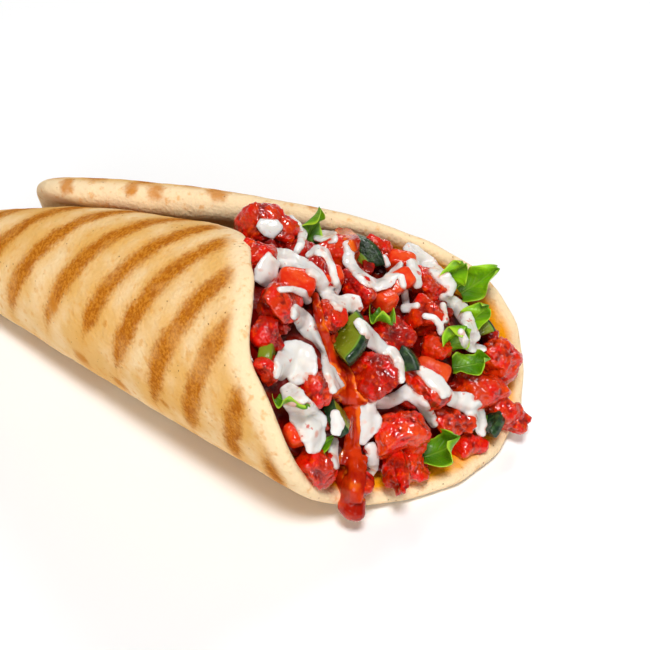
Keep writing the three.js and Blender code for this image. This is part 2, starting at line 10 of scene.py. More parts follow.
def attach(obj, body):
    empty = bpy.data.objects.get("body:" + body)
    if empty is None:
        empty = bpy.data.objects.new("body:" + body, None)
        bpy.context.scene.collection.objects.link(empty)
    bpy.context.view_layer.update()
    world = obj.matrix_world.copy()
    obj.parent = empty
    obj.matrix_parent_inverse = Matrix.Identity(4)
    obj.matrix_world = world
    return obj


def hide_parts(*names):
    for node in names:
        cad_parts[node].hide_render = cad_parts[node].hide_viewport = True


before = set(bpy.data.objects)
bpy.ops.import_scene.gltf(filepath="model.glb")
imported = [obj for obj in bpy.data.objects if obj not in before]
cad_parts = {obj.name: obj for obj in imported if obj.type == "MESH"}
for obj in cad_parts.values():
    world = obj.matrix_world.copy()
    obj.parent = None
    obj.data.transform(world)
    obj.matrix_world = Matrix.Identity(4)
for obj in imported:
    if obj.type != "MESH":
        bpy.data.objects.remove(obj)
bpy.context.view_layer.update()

# Pita
# A soft round of leavened wheat dough, baked pale, marked on a ridged grill and rolled into a cone while
# warm: it bends about lines through one apex behind its tail. Its outline has a radius every 30 degrees.
# Sizes are in millimetres until a mesh is made.
MM = 0.001
BREAD_THICKNESS = 7.0
RIM_DEPTH = 7.0
OUTLINE_RADII = [102, 104, 88, 78, 88, 106, 93, 118, 114, 110, 100, 86]
# Local features of the round: depth, direction, width.
TAIL_CORNER = (26.0, math.radians(163), math.radians(17))
FLAP_NOTCH = (4.0, math.radians(290), math.radians(7))
RIM_PUFF = (4.8, math.radians(112), math.radians(34))
PUFF_DEPTHS = (9.0, 24.0)
TAIL_CROWDING = 0.42
APEX_TO_CENTRE = 127.6
CENTRE_ANGLE = -0.08
FRONT_FLAP = {
    "bend": 4.3, "growth": 0.68, "change": 1.33, "change_from": 0.7, "flat": 0.138, "flare": -0.18,
}
BACK_FLAP = {
    "bend": 5.7, "growth": -1.24, "change": -1.75, "change_from": 0.5, "flat": -0.021, "flare": -0.404,
}
FLAP_CURL = {"bend": 1.6, "near": 85.0, "far": 160.0, "start": 0.55, "span": 0.25}
BEND_STEP = 0.01
BEND_FADE = 0.03
CHANGE_SPAN = 0.3
FLARE_FROM = 150.0
FLARE_SPAN = 100.0
FLARE_LIMITS = (0.2, 3.0)
REST_PRESS = 0.6
APEX = np.array([-135.08, 18.45, BREAD_THICKNESS / 2 - REST_PRESS])
PITA_SPOKES = 360
PITA_FACE_ROWS = 64
PITA_RIM_ROWS = 15
PITA_MIDDLE = 0.004
DOUGH_SWELL = 0.6
DOUGH_SWELL_SIZE = 13.0
DOUGH_DENT = 0.25
DOUGH_DENT_SIZE = 4.0
DOUGH_DENT_SHIFT = 3.0
RIM_WAVE = 0.7
RIM_WAVE_RADIUS = 100.0
RIM_WAVE_SIZE = 9.0
# Grill lines, by their distance along the round from its middle towards the mouth.
GRILL_LINES = [-88, -72, -56, -38.5, -22, -7, 9, 23.8, 40.3, 56, 72, 88]
GRILL_EDGE = 56.0
GRILL_EDGE_TAPER = 0.65
GRILL_EDGE_FROM = -22.0
GRILL_FADE = (-16.0, 8.0)
GRILL_LIFT = 5.5
UNGRILLED = 99.0
SOAKED_FROM = (15.0, 50.0)
SOAKED_DEPTHS = (1.0, 4.0)
# Scorched spots on the outer face: along the round, across it, radius.
SCORCHES = [
    (-37.8, -48.6, 2.6), (-23, -39.5, 4.0), (-6.5, -43.7, 4.0), (13.5, -55, 2.4), (-15.6, -61.9, 1.3),
    (-67, 66, 4.2), (-43, 73, 3.4), (-34.5, 75, 4.2), (-13, 74, 5.0), (20, 74, 3.5),
]
# The outer face counts as side 1 and the inner one as side -1, with the rim between them.
GRILLED_FROM_SIDE = -0.3
SCORCHED_SIDES = (-0.7, 0.5)
# Colours as seen on a screen, from 0 to 255.
SCREEN_WHITE = 255
PALE_CRUST = (246, 213, 162)
BAKED_CRUST = (234, 184, 110)
RIM_CRUST = (249, 220, 176)
FRECKLE_BROWN = (228, 160, 76)
GRILL_GOLD = (230, 166, 72)
TOAST_BROWN = (176, 96, 8)
TOAST_GOLD = (206, 130, 34)
DEEP_TOAST = (168, 88, 8)
SCORCH_BROWN = (204, 126, 34)
PORE_BROWN = (142, 80, 24)
SOAKED_ORANGE = (255, 166, 8)
# Patches: size, detail, how cloudy it is where they begin and where they are full, least and most share.
BAKED_PATCHES = (17.0, 4.0, 0.36, 0.64)
FRECKLE_PATCHES = (3.0, 4.0, 0.54, 0.72, 0.0, 0.6)
STRIPE_PATCHES = (12.0, 3.0, 0.3, 0.5, 0.7, 1.0)
TOAST_PATCHES = (0.9, 4.0, 0.36, 0.62)
DEEP_TOAST_PATCHES = (4.0, 4.0, 0.5, 0.66, 0.0, 0.6)
PORE_PATCHES = (8.0, 3.0, 0.45, 0.62)
SOAKED_PATCHES = (9.0, 3.0, 0.25, 0.5, 0.6, 1.0)
# Uneven edges: size, detail, reach.
STRIPE_RAGGED = (6.0, 5.0, 4.4)
STRIPE_GRAINY = (1.1, 2.0, 3.4)
SCORCH_RAGGED = (3.0, 5.0, 0.9)
# Reaches: where a share begins and where it is full, least and most share.
STRIPE_REACH = (8.9, 5.2)
GLOW_REACH = (13.0, 6.4)
GLOW_STRENGTH = 0.55
MARKED_REACH = (2.5, 8.0)
PALE_RIM_REACH = (8.0, 2.0)
SCORCH_REACH = (0.75, 1.35, 0.0, 0.85)
PORE_STRENGTH = 0.7
# Specks: size, then their reach from the middle of a grain.
PORE_SPECKS = (2.3, 0.13, 0.07)
# Fine relief: size and detail of its grain, then its depth.
CRUST_FINE_GRAIN = (1.2, 5.0)
CRUST_COARSE_GRAIN = (5.0, 3.0)
CRUST_RELIEF = 0.5


def smooth_between(value, low, high):
    """Rises smoothly from 0 at low to 1 at high."""
    share = np.clip((value - low) / (high - low), 0, 1)
    return share * share * (3 - 2 * share)


def feature_at(feature, direction):
    """Depth of a local feature of the round in each direction."""
    depth, middle, width = feature
    away = (np.mod(direction, 2 * math.pi) - middle) / width
    return depth * np.exp(-away * away)


def outline_radius(direction):
    """Radius of the flat round in each direction, through the given radii."""
    radii = np.array(OUTLINE_RADII, float)
    place = np.mod(direction, 2 * math.pi) / (2 * math.pi) * len(radii)
    first = np.floor(place).astype(int)
    part = place - first
    before, start, end, after = (radii[(first + shift) % len(radii)] for shift in (-1, 0, 1, 2))
    slope = (end - before) / 2
    next_slope = (after - start) / 2
    cubic = 2 * (start - end) + slope + next_slope
    square = 3 * (end - start) - 2 * slope - next_slope
    radius = start + part * (slope + part * (square + part * cubic))
    return radius - feature_at(TAIL_CORNER, direction) - feature_at(FLAP_NOTCH, direction)


def bend_at(flap, angle):
    """How fast a flap bends at an angle from the middle line."""
    steady = flap["bend"] + flap["growth"] * angle
    late = flap["change"] * smooth_between(angle, flap["change_from"], flap["change_from"] + CHANGE_SPAN)
    return (steady + late) * smooth_between(angle, flap["flat"] - BEND_FADE, flap["flat"] + BEND_FADE)


def unit(vectors):
    return vectors / np.linalg.norm(vectors, axis=-1, keepdims=True)


def roll(along, across):
    """Carries places of the flat round to the roll, with the directions out of it."""
    x = APEX_TO_CENTRE * math.cos(CENTRE_ANGLE) + along
    y = APEX_TO_CENTRE * math.sin(CENTRE_ANGLE) + across
    reach = np.hypot(x, y)
    angle = np.arctan2(y, x)
    is_front = angle < 0
    flare = np.where(is_front, FRONT_FLAP["flare"], BACK_FLAP["flare"])
    flare = np.clip(1 - flare * (reach - FLARE_FROM) / FLARE_SPAN, *FLARE_LIMITS)
    curl = FLAP_CURL["bend"] * smooth_between(reach, FLAP_CURL["near"], FLAP_CURL["far"]) * is_front
    line = np.tile([1.0, 0.0, 0.0], (len(reach), 1))
    side = np.tile([0.0, 1.0, 0.0], (len(reach), 1))
    inward = np.tile([0.0, 0.0, 1.0], (len(reach), 1))
    for done in np.arange(0, np.abs(angle).max(), BEND_STEP):
        step = np.clip(np.abs(angle) - done, 0, BEND_STEP)
        bend = np.where(is_front, bend_at(FRONT_FLAP, done), bend_at(BACK_FLAP, done))
        curled = curl * smooth_between(done, FLAP_CURL["start"], FLAP_CURL["start"] + FLAP_CURL["span"])
        turned = side - step[:, None] * line + (step * (bend + curled) * flare)[:, None] * inward
        line = unit(line + step[:, None] * side)
        side = unit(turned - np.sum(turned * line, axis=1, keepdims=True) * line)
        inward = np.cross(line, side)
    mirror = np.ones((len(reach), 3))
    mirror[is_front, 1] = -1
    return APEX + reach[:, None] * line * mirror, -inward * mirror


def ripple(points, size, shift=0.0):
    """Soft noise from -1 to 1 at points, for waves of a size."""
    return np.array([noise.noise(Vector(point) / size + Vector((shift, shift, shift))) for point in points])


def add_piece(name, points, faces, finish, attributes=()):
    """A smooth mesh from points in millimetres, with values at its points for its finish to read."""
    mesh = bpy.data.meshes.new(name)
    mesh.from_pydata(np.asarray(points) * MM, [], faces)
    mesh.polygons.foreach_set("use_smooth", np.ones(len(mesh.polygons), bool))
    for label, values in dict(attributes).items():
        attribute = mesh.attributes.new(label, "FLOAT", "POINT")
        attribute.data.foreach_set("value", np.asarray(values, np.float32))
    mesh.materials.append(finish)
    piece = bpy.data.objects.new(name, mesh)
    bpy.context.scene.collection.objects.link(piece)
    return piece


def ring_faces(rows, count):
    """Quads between rows of a closed ring of points."""
    faces = []
    for row in range(rows - 1):
        for i in range(count):
            following = (i + 1) % count
            near, far = row * count, (row + 1) * count
            faces.append((near + i, near + following, far + following, far + i))
    return faces


def pita_rows(edge):
    """Radius of each row and its side of the sheet, from the outer face round the rim to the inner."""
    shares = np.linspace(PITA_MIDDLE, 1, PITA_FACE_ROWS)
    face = shares[:, None] * (edge - RIM_DEPTH)
    turns = np.linspace(0, math.pi, PITA_RIM_ROWS)[1:-1]
    rim = edge - RIM_DEPTH * (1 - np.sin(turns))[:, None]
    sides = np.concatenate([np.ones(len(face)), np.cos(turns), -np.ones(len(face))])
    return np.concatenate([face, rim, face[::-1]]), sides


def grill_distance(along, across, side):
    """Distance from the nearest grill line, larger where the round did not lie on the grill."""
    nearest = np.abs(along[:, None] - np.array(GRILL_LINES)).min(axis=1)
    edge = GRILL_EDGE - GRILL_EDGE_TAPER * np.maximum(GRILL_EDGE_FROM - along, 0)
    lifted = GRILL_LIFT * (1 - smooth_between(np.abs(across) - edge, *GRILL_FADE))
    return np.where(side < GRILLED_FROM_SIDE, UNGRILLED, nearest + lifted)


def scorch_share(along, across, side):
    """How scorched the outer face is, 1 in the middle of a spot."""
    share = np.zeros(len(along))
    for spot_along, spot_across, radius in SCORCHES:
        away = np.hypot(along - spot_along, across - spot_across) / radius
        share = np.maximum(share, np.exp(-away * away))
    return share * smooth_between(side, *SCORCHED_SIDES)


def soaked_share(along, side, rim_depth):
    """How far sauce and oil have soaked into the inner face, most at the lip of the mouth."""
    near_lip = smooth_between(along, *SOAKED_FROM) * smooth_between(rim_depth, *SOAKED_DEPTHS)
    return np.where(side < 0, near_lip, 0)


def waved_edge(directions):
    """Radius of the uneven rim in each direction."""
    circle = np.stack([np.cos(directions), np.sin(directions), np.zeros(len(directions))], 1)
    return outline_radius(directions) + RIM_WAVE * (ripple(circle * RIM_WAVE_RADIUS, RIM_WAVE_SIZE) - 1)


def dough_height(along, across, side, puff):
    """How far out of the middle of the sheet each point lies, with the swells and dents of the dough."""
    flat = np.stack([along, across, side * BREAD_THICKNESS], 1)
    swell = DOUGH_SWELL * (ripple(flat, DOUGH_SWELL_SIZE) - 1) / 2
    dent = DOUGH_DENT * (ripple(flat, DOUGH_DENT_SIZE, DOUGH_DENT_SHIFT) - 1) / 2
    return side * ((BREAD_THICKNESS + puff) / 2 + swell + dent) - puff / 2


def make_pita(finish):
    steps = np.linspace(0, 2 * math.pi, PITA_SPOKES, endpoint=False)
    directions = steps + TAIL_CROWDING * np.sin(steps)
    edge = waved_edge(directions)
    radii, sides = pita_rows(edge)
    along = (radii * np.cos(directions)).ravel()
    across = (radii * np.sin(directions)).ravel()
    side = np.repeat(sides, PITA_SPOKES)
    rim_depth = (edge - radii).ravel()
    near_rim = 1 - smooth_between(rim_depth, *PUFF_DEPTHS)
    puff = feature_at(RIM_PUFF, np.tile(directions, len(sides))) * near_rim
    middle, outward = roll(along, across)
    points = middle + outward * dough_height(along, across, side, puff)[:, None]
    points[:, 2] = np.maximum(points[:, 2], 0)
    faces = ring_faces(len(sides), PITA_SPOKES)
    last = len(points) - PITA_SPOKES
    faces += [tuple(range(PITA_SPOKES))[::-1], tuple(range(last, len(points)))]
    return add_piece("pita", points, faces, finish, {
        "from_grill": grill_distance(along, across, side),
        "scorch": scorch_share(along, across, side),
        "rim_depth": rim_depth,
        "soaked": soaked_share(along, side, rim_depth),
    })


def as_light(shade):
    """A colour seen on a screen, as the light that a finish sends back. A step's output stays as it is."""
    if isinstance(shade, bpy.types.NodeSocket):
        return shade
    seen = Color([part / SCREEN_WHITE for part in shade])
    return (*seen.from_srgb_to_scene_linear(), 1.0)


def new_finish(name, **sockets):
    """A finish with the values that are the same all over on its own sockets."""
    finish = bpy.data.materials.new(name)
    finish.use_nodes = True
    shader = finish.node_tree.nodes["Principled BSDF"]
    shader.inputs["Subsurface Scale"].default_value = 1.0
    for label, value in sockets.items():
        shader.inputs[label.replace("_", " ")].default_value = value
    return finish


def join_to(finish, socket, value):
    """Links a socket to another node, or sets its value."""
    if isinstance(value, bpy.types.NodeSocket):
        finish.node_tree.links.new(value, socket)
    else:
        socket.default_value = value


def add_step(finish, kind, inputs=(), output=0, **settings):
    """Adds one step of a finish and gives its output."""
    step = finish.node_tree.nodes.new(kind)
    for label, value in settings.items():
        setattr(step, label, value)
    for label, value in dict(inputs).items():
        join_to(finish, step.inputs[label], value)
    return step.outputs[output]


def set_on_shader(finish, label, value):
    join_to(finish, finish.node_tree.nodes["Principled BSDF"].inputs[label], value)


def value_at(finish, label):
    """A value that the mesh keeps at its points."""
    return add_step(finish, "ShaderNodeAttribute", output=2, attribute_name=label)


def place_in(finish):
    """The place on the piece, in metres."""
    return add_step(finish, "ShaderNodeTexCoord", output=3)


def calculate(finish, operation, first, second=0.0):
    return add_step(finish, "ShaderNodeMath", {0: first, 1: second}, operation=operation)


def both(finish, first, second):
    """The share where two shares meet."""
    return calculate(finish, "MULTIPLY", first, second)


def rise(finish, value, low, high, least=0.0, most=1.0):
    """Goes smoothly from the least where the value is low to the most where it is high."""
    inputs = {"Value": value, "From Min": low, "From Max": high, "To Min": least, "To Max": most}
    return add_step(finish, "ShaderNodeMapRange", inputs, interpolation_type="SMOOTHSTEP")


def blend(finish, share, first, second):
    """Mixes two colours, each as seen on a screen or from another step."""
    inputs = {0: share, 6: as_light(first), 7: as_light(second)}
    return add_step(finish, "ShaderNodeMix", inputs, output=2, data_type="RGBA")


def mottle(finish, size, detail):
    """Uneven cloudiness from 0 to 1, with clouds of a size in millimetres."""
    inputs = {"Vector": place_in(finish), "Scale": 1 / (size * MM), "Detail": detail}
    return add_step(finish, "ShaderNodeTexNoise", inputs)


def patches(finish, size, detail, *reach):
    """Share of uneven patches."""
    return rise(finish, mottle(finish, size, detail), *reach)


def unevenness(finish, size, detail, reach):
    """An uneven distance, from 0 to a reach."""
    return calculate(finish, "MULTIPLY", mottle(finish, size, detail), reach)


def grains(finish, size):
    """Distance to the nearest grain, for grains of a size in millimetres."""
    return add_step(finish, "ShaderNodeTexVoronoi", {"Vector": place_in(finish), "Scale": 1 / (size * MM)})


def specks(finish, size, *reach):
    """Share of specks, one in the middle of each grain."""
    return rise(finish, grains(finish, size), *reach)


def add_relief(finish, height, depth):
    """Fine relief of a depth in millimetres."""
    inputs = {"Height": height, "Distance": depth * MM, "Strength": 1.0}
    set_on_shader(finish, "Normal", add_step(finish, "ShaderNodeBump", inputs))


def grill_shares(finish):
    """Shares of the browned stripes and of the golden glow beside them, fading before the rim."""
    ragged = unevenness(finish, *STRIPE_RAGGED)
    uneven = calculate(finish, "ADD", ragged, unevenness(finish, *STRIPE_GRAINY))
    from_line = calculate(finish, "ADD", value_at(finish, "from_grill"), uneven)
    marked = rise(finish, value_at(finish, "rim_depth"), *MARKED_REACH)
    patchy = both(finish, marked, patches(finish, *STRIPE_PATCHES))
    stripe = both(finish, rise(finish, from_line, *STRIPE_REACH), patchy)
    glow = both(finish, rise(finish, from_line, *GLOW_REACH), marked)
    return stripe, glow


def baked_crust(finish):
    """Pale crust, palest at the rim, with baked patches and freckles."""
    base = blend(finish, patches(finish, *BAKED_PATCHES), PALE_CRUST, BAKED_CRUST)
    pale_rim = rise(finish, value_at(finish, "rim_depth"), *PALE_RIM_REACH)
    base = blend(finish, pale_rim, base, RIM_CRUST)
    return blend(finish, patches(finish, *FRECKLE_PATCHES), base, FRECKLE_BROWN)


def grilled(finish, base):
    """Lays the glow and the stripes of the grill over the crust."""
    stripe, glow = grill_shares(finish)
    base = blend(finish, both(finish, glow, GLOW_STRENGTH), base, GRILL_GOLD)
    toasted = blend(finish, patches(finish, *TOAST_PATCHES), TOAST_BROWN, TOAST_GOLD)
    base = blend(finish, stripe, base, toasted)
    deep = both(finish, stripe, patches(finish, *DEEP_TOAST_PATCHES))
    return blend(finish, deep, base, DEEP_TOAST)


def pita_finish():
    finish = new_finish("grilled_pita", Roughness=0.85, Specular_IOR_Level=0.1, Subsurface_Weight=0.06,
                        Subsurface_Radius=(0.004, 0.002, 0.001))
    base = grilled(finish, baked_crust(finish))
    scorch = calculate(finish, "ADD", value_at(finish, "scorch"), unevenness(finish, *SCORCH_RAGGED))
    base = blend(finish, rise(finish, scorch, *SCORCH_REACH), base, SCORCH_BROWN)
    pores = both(finish, specks(finish, *PORE_SPECKS), patches(finish, *PORE_PATCHES))
    base = blend(finish, both(finish, pores, PORE_STRENGTH), base, PORE_BROWN)
    soaked = both(finish, value_at(finish, "soaked"), patches(finish, *SOAKED_PATCHES))
    set_on_shader(finish, "Base Color", blend(finish, soaked, base, SOAKED_ORANGE))
    crumb = mottle(finish, *CRUST_FINE_GRAIN)
    crumb = calculate(finish, "ADD", crumb, mottle(finish, *CRUST_COARSE_GRAIN))
    add_relief(finish, calculate(finish, "SUBTRACT", crumb, pores), CRUST_RELIEF)
    return finish


pita = make_pita(pita_finish())
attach(pita, "root")
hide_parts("pita")

# Chicken filling
# Thigh meat cut into rough pieces, coated in red spice, roasted and tipped into the roll over small scraps.
# The pieces lie on a mound in the tilted mouth. A solid core of the same meat runs back inside the roll.
MOUTH_TILT = math.radians(32)
MOUTH_FROM_APEX = np.array([185.0, -15.0, 36.5])
MOUTH_AXES = np.array([
    [math.cos(MOUTH_TILT), 0.0, -math.sin(MOUTH_TILT)],
    [0.0, 1.0, 0.0],
    [math.sin(MOUTH_TILT), 0.0, math.cos(MOUTH_TILT)],
])
MOUND = {
    "top": 9.9, "along": -0.093, "across": -0.023, "along2": -0.0072, "twist": 0.0104, "across2": -0.0047,
}
# Core sections: distance from the apex, sideways, up, half width, half height.
PLUG_SECTIONS = [
    (72, -16, 20, 8, 8),
    (102, -22, 22, 14, 15),
    (130, -17, 22, 27, 15),
    (155, -14, 27, 35, 20),
    (180, -14, 24, 37, 18),
    (200, -12, 16, 30, 10),
]
PLUG_SIDES = 64
PLUG_TIPS = (-4, 3)
# The lens is the bed of scraps under the mound.
LENS_SIDES = 120
LENS_FROM = math.radians(-100)
LENS_TO = math.radians(90)
LENS_INSET = 8.0
LENS_GAP = 1.0
LENS_SINK = 4.0
LENS_DEPTH = 30.0
LENS_ROWS = 44
LENS_FALL = 3
SCRAP_RELIEF = 1.1
SCRAP_SIZE = 3.2
GRAIN_MEAN = 0.5
# Pieces: along the mouth, across it, lift above the mound, length, width, turn.
CHICKEN = [
    (-40, 7, 3, 20, 15, 20), (-21, -3, 3, 15, 13, -40), (-29, 5, 1, 11, 10, 0), (-21, 15, 3, 15, 12, 30),
    (-11, 27, 2, 11, 10, 0), (-10, 2, 2, 16, 11, -30), (-24, -26, 3, 16, 13, 35), (-11, -16, 3, 12, 9, -50),
    (9, 28, 2, 15, 12, 10), (13, 16, 3, 14, 13, 60), (20, 10, 2, 11, 10, 0), (6, 0, 0, 17, 13, 40),
    (11, -16, 5, 18, 15, -10), (25, -4, 4, 17, 9, 5), (28, -16, 3, 18, 14, 30), (39, 1, 3, 15, 11, 40),
    (48, 3, 2, 15, 11, 15), (39, 27, 3, 16, 14, 60), (40, 15, 3, 21, 12, 45), (49, 18, 4, 11, 9, 0),
    (54.5, 19, 6.5, 11, 10, 40), (0, -35, 3, 13, 9, -60), (15, -44, 2, 13, 12, 20),
    (28, -35, 3, 12, 10, -60), (33, -23, 5, 24, 8, -58), (37, -18, 2, 13, 10, 30), (-15, -44, 1, 8, 7, 0),
    (-21, -35, 0, 11, 9, 0), (-37, -13, 2, 12, 10, -30),
]
# How far each piece is from deep red towards orange.
CHICKEN_TONES = [
    0.6, 0.1, 0.1, 0.8, 0.6, 0.05, 0.7, 0.6, 0.5, 0.6, 0.7, 0.15, 0.2, 0.8, 1.0,
    0.8, 0.6, 0.8, 0.8, 0.7, 0.5, 0.7, 0.4, 0.5, 0.3, 0.8, 0.4, 0.1, 0.5,
]
CHICKEN_THICKNESS = 0.82
CHICKEN_ROOT = 1.8
CHICKEN_TIP = 14.0
CHICKEN_SEED = 412
CUT_COUNT = 9
CUT_DEPTHS = (0.5, 0.86)
CUT_SHARE = 0.85
TORN_SIZE = 5.0
TORN_RELIEF = 0.95
TORN_ROUGHNESS = 0.55
TORN_STEP = 2.1
TORN_LAYERS = 4
BEAD_SIZE = 1.8
BEAD_RELIEF = 0.6
BEAD_STANDING = 0.6
# Shares of a piece's width.
BULGE = 0.1
BULGE_SIZE = 0.5
RELIEF_SHIFTS = (0, 50)
PIECE_FINENESS = 5
CRUMB_RANGE = (0.5, 1.25)
# Nothing of the filling lies below the bread's upper face under the mouth.
FILLING_LOWEST = 6.0
SCRAP_COUNT = 140
SCRAP_SPREAD = 0.93
SCRAP_LENGTHS = (3.5, 7.5)
SCRAP_LIFTS = (-2.5, 0.8)
SCRAP_WIDTHS = (0.6, 0.9)
SCRAP_TURNS = (0, 180)
# Scraps keep to the deeper red tones, partly as painted shade for scraps that lie down between the pieces.
SCRAP_TONES = (0.0, 0.5)
SCRAP_CRUMB = 0.7
SCRAP_FINENESS = 4
CHORD_POINTS = 30
# How deep the meat lies in the heap, and so how far painted shade darkens it.
PIECE_DEPTH = 0.0
SCRAP_DEPTH = 0.5
CORE_DEPTH = 1.0
DEEP_MEAT = (160, 6, 1)
ORANGE_MEAT = (222, 58, 6)
RED_GLAZE = (220, 14, 1)
ORANGE_OIL = (246, 82, 4)
# Painted shade in the crevices of the meat.
CREVICE_PAINTED_SHADE = (116, 6, 2)
CHAR_BROWN = (110, 22, 6)
# Painted shade over meat that lies deep in the heap, and how strongly it darkens the deepest.
PAINTED_HEAP_SHADE = (84, 4, 1)
PAINTED_HEAP_SHADE_STRENGTH = 0.85
GLAZE_PATCHES = (4.5, 4.0, 0.45, 0.6, 0.0, 0.85)
OIL_PATCHES = (2.4, 3.0, 0.55, 0.7, 0.0, 0.7)
WET_PATCHES = (3.0, 3.0, 0.4, 0.62, 0.4, 0.2)
CREVICE_SHADE_REACH = (0.0, -0.6, 0.0, 0.8)
CHAR_SPECKS = (4.0, 0.12, 0.05, 0.0, 0.4)
MEAT_FIBRE = (1.2, 3.0)
MEAT_GRAIN_SIZE = 1.6
MEAT_RELIEF = 0.3


def mound_height(along, across):
    straight = MOUND["top"] + MOUND["along"] * along + MOUND["across"] * across
    curved = MOUND["along2"] * along**2 + MOUND["across2"] * across**2
    return straight + curved + MOUND["twist"] * along * across


def from_mouth(points):
    """Carries points along, across and up from the mouth into the gyro's own frame."""
    return np.asarray(points) @ MOUTH_AXES + MOUTH_FROM_APEX + APEX


def to_mouth(points):
    return (np.asarray(points) - MOUTH_FROM_APEX - APEX) @ MOUTH_AXES.T


def place_on_mouth(points, along, across, lift, turn, tip):
    """Turns a piece in the mouth's plane, tips it and lifts it on to the mound."""
    turned = Matrix.Rotation(math.radians(turn), 3, "Z") @ Matrix.Rotation(-math.radians(tip), 3, "Y")
    spot = np.array([along, across, mound_height(along, across) + lift])
    return from_mouth(np.asarray(points) @ np.array(turned).T + spot)


def mouth_loop(count):
    """Points just inside the bread round the mouth, in the mouth's own axes."""
    directions = np.linspace(LENS_FROM, LENS_TO, count)
    radii = outline_radius(directions) - LENS_INSET
    wall, outward = roll(radii * np.cos(directions), radii * np.sin(directions))
    return to_mouth(wall - outward * (BREAD_THICKNESS / 2 + LENS_GAP))


def grain_height(points, size, shift=0.0):
    """Height of a grainy surface, for grains of a size, highest in the middle of each."""
    offset = Vector((shift, shift, shift))
    return np.array([GRAIN_MEAN - noise.voronoi(Vector(point) / size + offset)[0][0] for point in points])


def closed_rows(first_tip, rows, last_tip):
    """Points and faces of a body through rings of equal count, with a tip at each end."""
    count = len(rows[0])
    points = np.concatenate([*rows, [first_tip], [last_tip]])
    faces = ring_faces(len(rows), count)
    first, last = len(points) - 2, len(points) - 1
    top = (len(rows) - 1) * count
    for i in range(count):
        following = (i + 1) % count
        faces.append((following, i, first))
        faces.append((top + i, top + following, last))
    return points, faces


def lens_row(loop, middle, share, depth):
    """One ring of the lens, a share of the way out to the bread."""
    flat = middle + share * (loop - middle)
    up = mound_height(flat[:, 0], flat[:, 1]) - LENS_SINK - depth * (1 - share**LENS_FALL)
    if depth == 0:
        up = up + SCRAP_RELIEF * grain_height(np.column_stack([flat[:, :2], up]), SCRAP_SIZE)
    return from_mouth(np.column_stack([flat[:, :2], up]))


def lens_body():
    """The scraps under the mound: an uneven top that runs down to the bread, and a bowl below it."""
    loop = mouth_loop(LENS_SIDES)
    middle = loop.mean(axis=0)
    shares = np.linspace(0, 1, LENS_ROWS + 1)[1:]
    rows = [lens_row(loop, middle, share, LENS_DEPTH) for share in shares[:-1]]
    rows += [lens_row(loop, middle, share, 0) for share in shares[::-1]]
    tips = [lens_row(loop, middle, 0.0, depth)[0] for depth in (LENS_DEPTH, 0)]
    return closed_rows(tips[0], rows, tips[1])


def plug_body():
    """The meat inside the roll, through oval sections."""
    angles = np.linspace(0, 2 * math.pi, PLUG_SIDES, endpoint=False)
    sections = np.array(PLUG_SECTIONS, float)
    reaches = np.linspace(sections[0, 0], sections[-1, 0], PLUG_SIDES)
    sideways, up, wide, high = (np.interp(reaches, sections[:, 0], sections[:, i]) for i in range(1, 5))
    rows = []
    for i, reach in enumerate(reaches):
        across = sideways[i] + wide[i] * np.cos(angles)
        height = up[i] + high[i] * np.sin(angles)
        row = np.stack([np.full(PLUG_SIDES, reach), across, height], 1)
        outward = np.stack([np.zeros(PLUG_SIDES), np.cos(angles), np.sin(angles)], 1)
        relief = SCRAP_RELIEF * grain_height(row, SCRAP_SIZE)
        rows.append(APEX + row + relief[:, None] * outward)
    tips = [APEX + [reaches[end] + PLUG_TIPS[end], sideways[end], up[end]] for end in (0, -1)]
    return closed_rows(tips[0], rows, tips[1])


def joined(bodies):
    """Points and faces of several bodies as one."""
    points, faces, start = [], [], 0
    for body_points, body_faces in bodies:
        points.append(body_points)
        faces += [tuple(start + index for index in face) for face in body_faces]
        start += len(body_points)
    return np.concatenate(points), faces


def torn_height(points, size, shift):
    """Height of a torn, stony surface, from about -1 to 1."""
    offset = Vector((shift, shift, shift))
    scaled = [Vector(point) / size + offset for point in points]
    return np.array([noise.fractal(place, TORN_ROUGHNESS, TORN_STEP, TORN_LAYERS) for place in scaled])


def round_lump(subdivisions):
    """A unit ball of even triangles."""
    ball = bmesh.new()
    bmesh.ops.create_icosphere(ball, subdivisions=subdivisions, radius=1.0)
    points = np.array([vertex.co for vertex in ball.verts])
    faces = [tuple(vertex.index for vertex in face.verts) for face in ball.faces]
    ball.free()
    return points, faces


def chopped(ball, draw):
    """A unit ball with flat cuts, as a knife leaves meat, stretched back to its full size."""
    lump = ball.copy()
    for _ in range(CUT_COUNT):
        facing = draw.normal(size=3)
        facing /= np.linalg.norm(facing)
        beyond = np.maximum(lump @ facing - draw.uniform(*CUT_DEPTHS), 0)
        lump -= CUT_SHARE * beyond[:, None] * facing
    return lump / np.abs(lump).max(axis=0)


def meat_lump(ball, length, width, crumb, draw):
    """A rough piece of meat about its own middle, with how far each point stands out of its crevices."""
    sizes = np.array([length / 2, width / 2, width / 2 * CHICKEN_THICKNESS])
    shift = draw.uniform(*RELIEF_SHIFTS)
    lump = chopped(ball, draw) * sizes
    bulge = BULGE * width * ripple(lump, BULGE_SIZE * width, shift)
    torn = torn_height(lump, TORN_SIZE, shift)
    beads = grain_height(lump, BEAD_SIZE, shift)
    relief = bulge + crumb * (TORN_RELIEF * torn + BEAD_RELIEF * beads)
    lump = lump + relief[:, None] * unit(lump / sizes**2)
    lump[:, 2] *= np.where(lump[:, 2] < 0, CHICKEN_ROOT, 1.0)
    return lump, torn + BEAD_STANDING * beads


def add_meat(name, lumps, faces, finish, depth):
    """Joins lumps, each with its points, standing and tone, into one piece at a depth in the heap, which
    sets its painted shade.
    """
    points, all_faces = joined([(points, faces) for points, _, _ in lumps])
    points[:, 2] = np.maximum(points[:, 2], FILLING_LOWEST)
    return add_piece(name, points, all_faces, finish, {
        "painted_shade_depth": np.full(len(points), depth),
        "standing": np.concatenate([standing for _, standing, _ in lumps]),
        "tone": np.concatenate([np.full(len(standing), tone) for _, standing, tone in lumps]),
    })


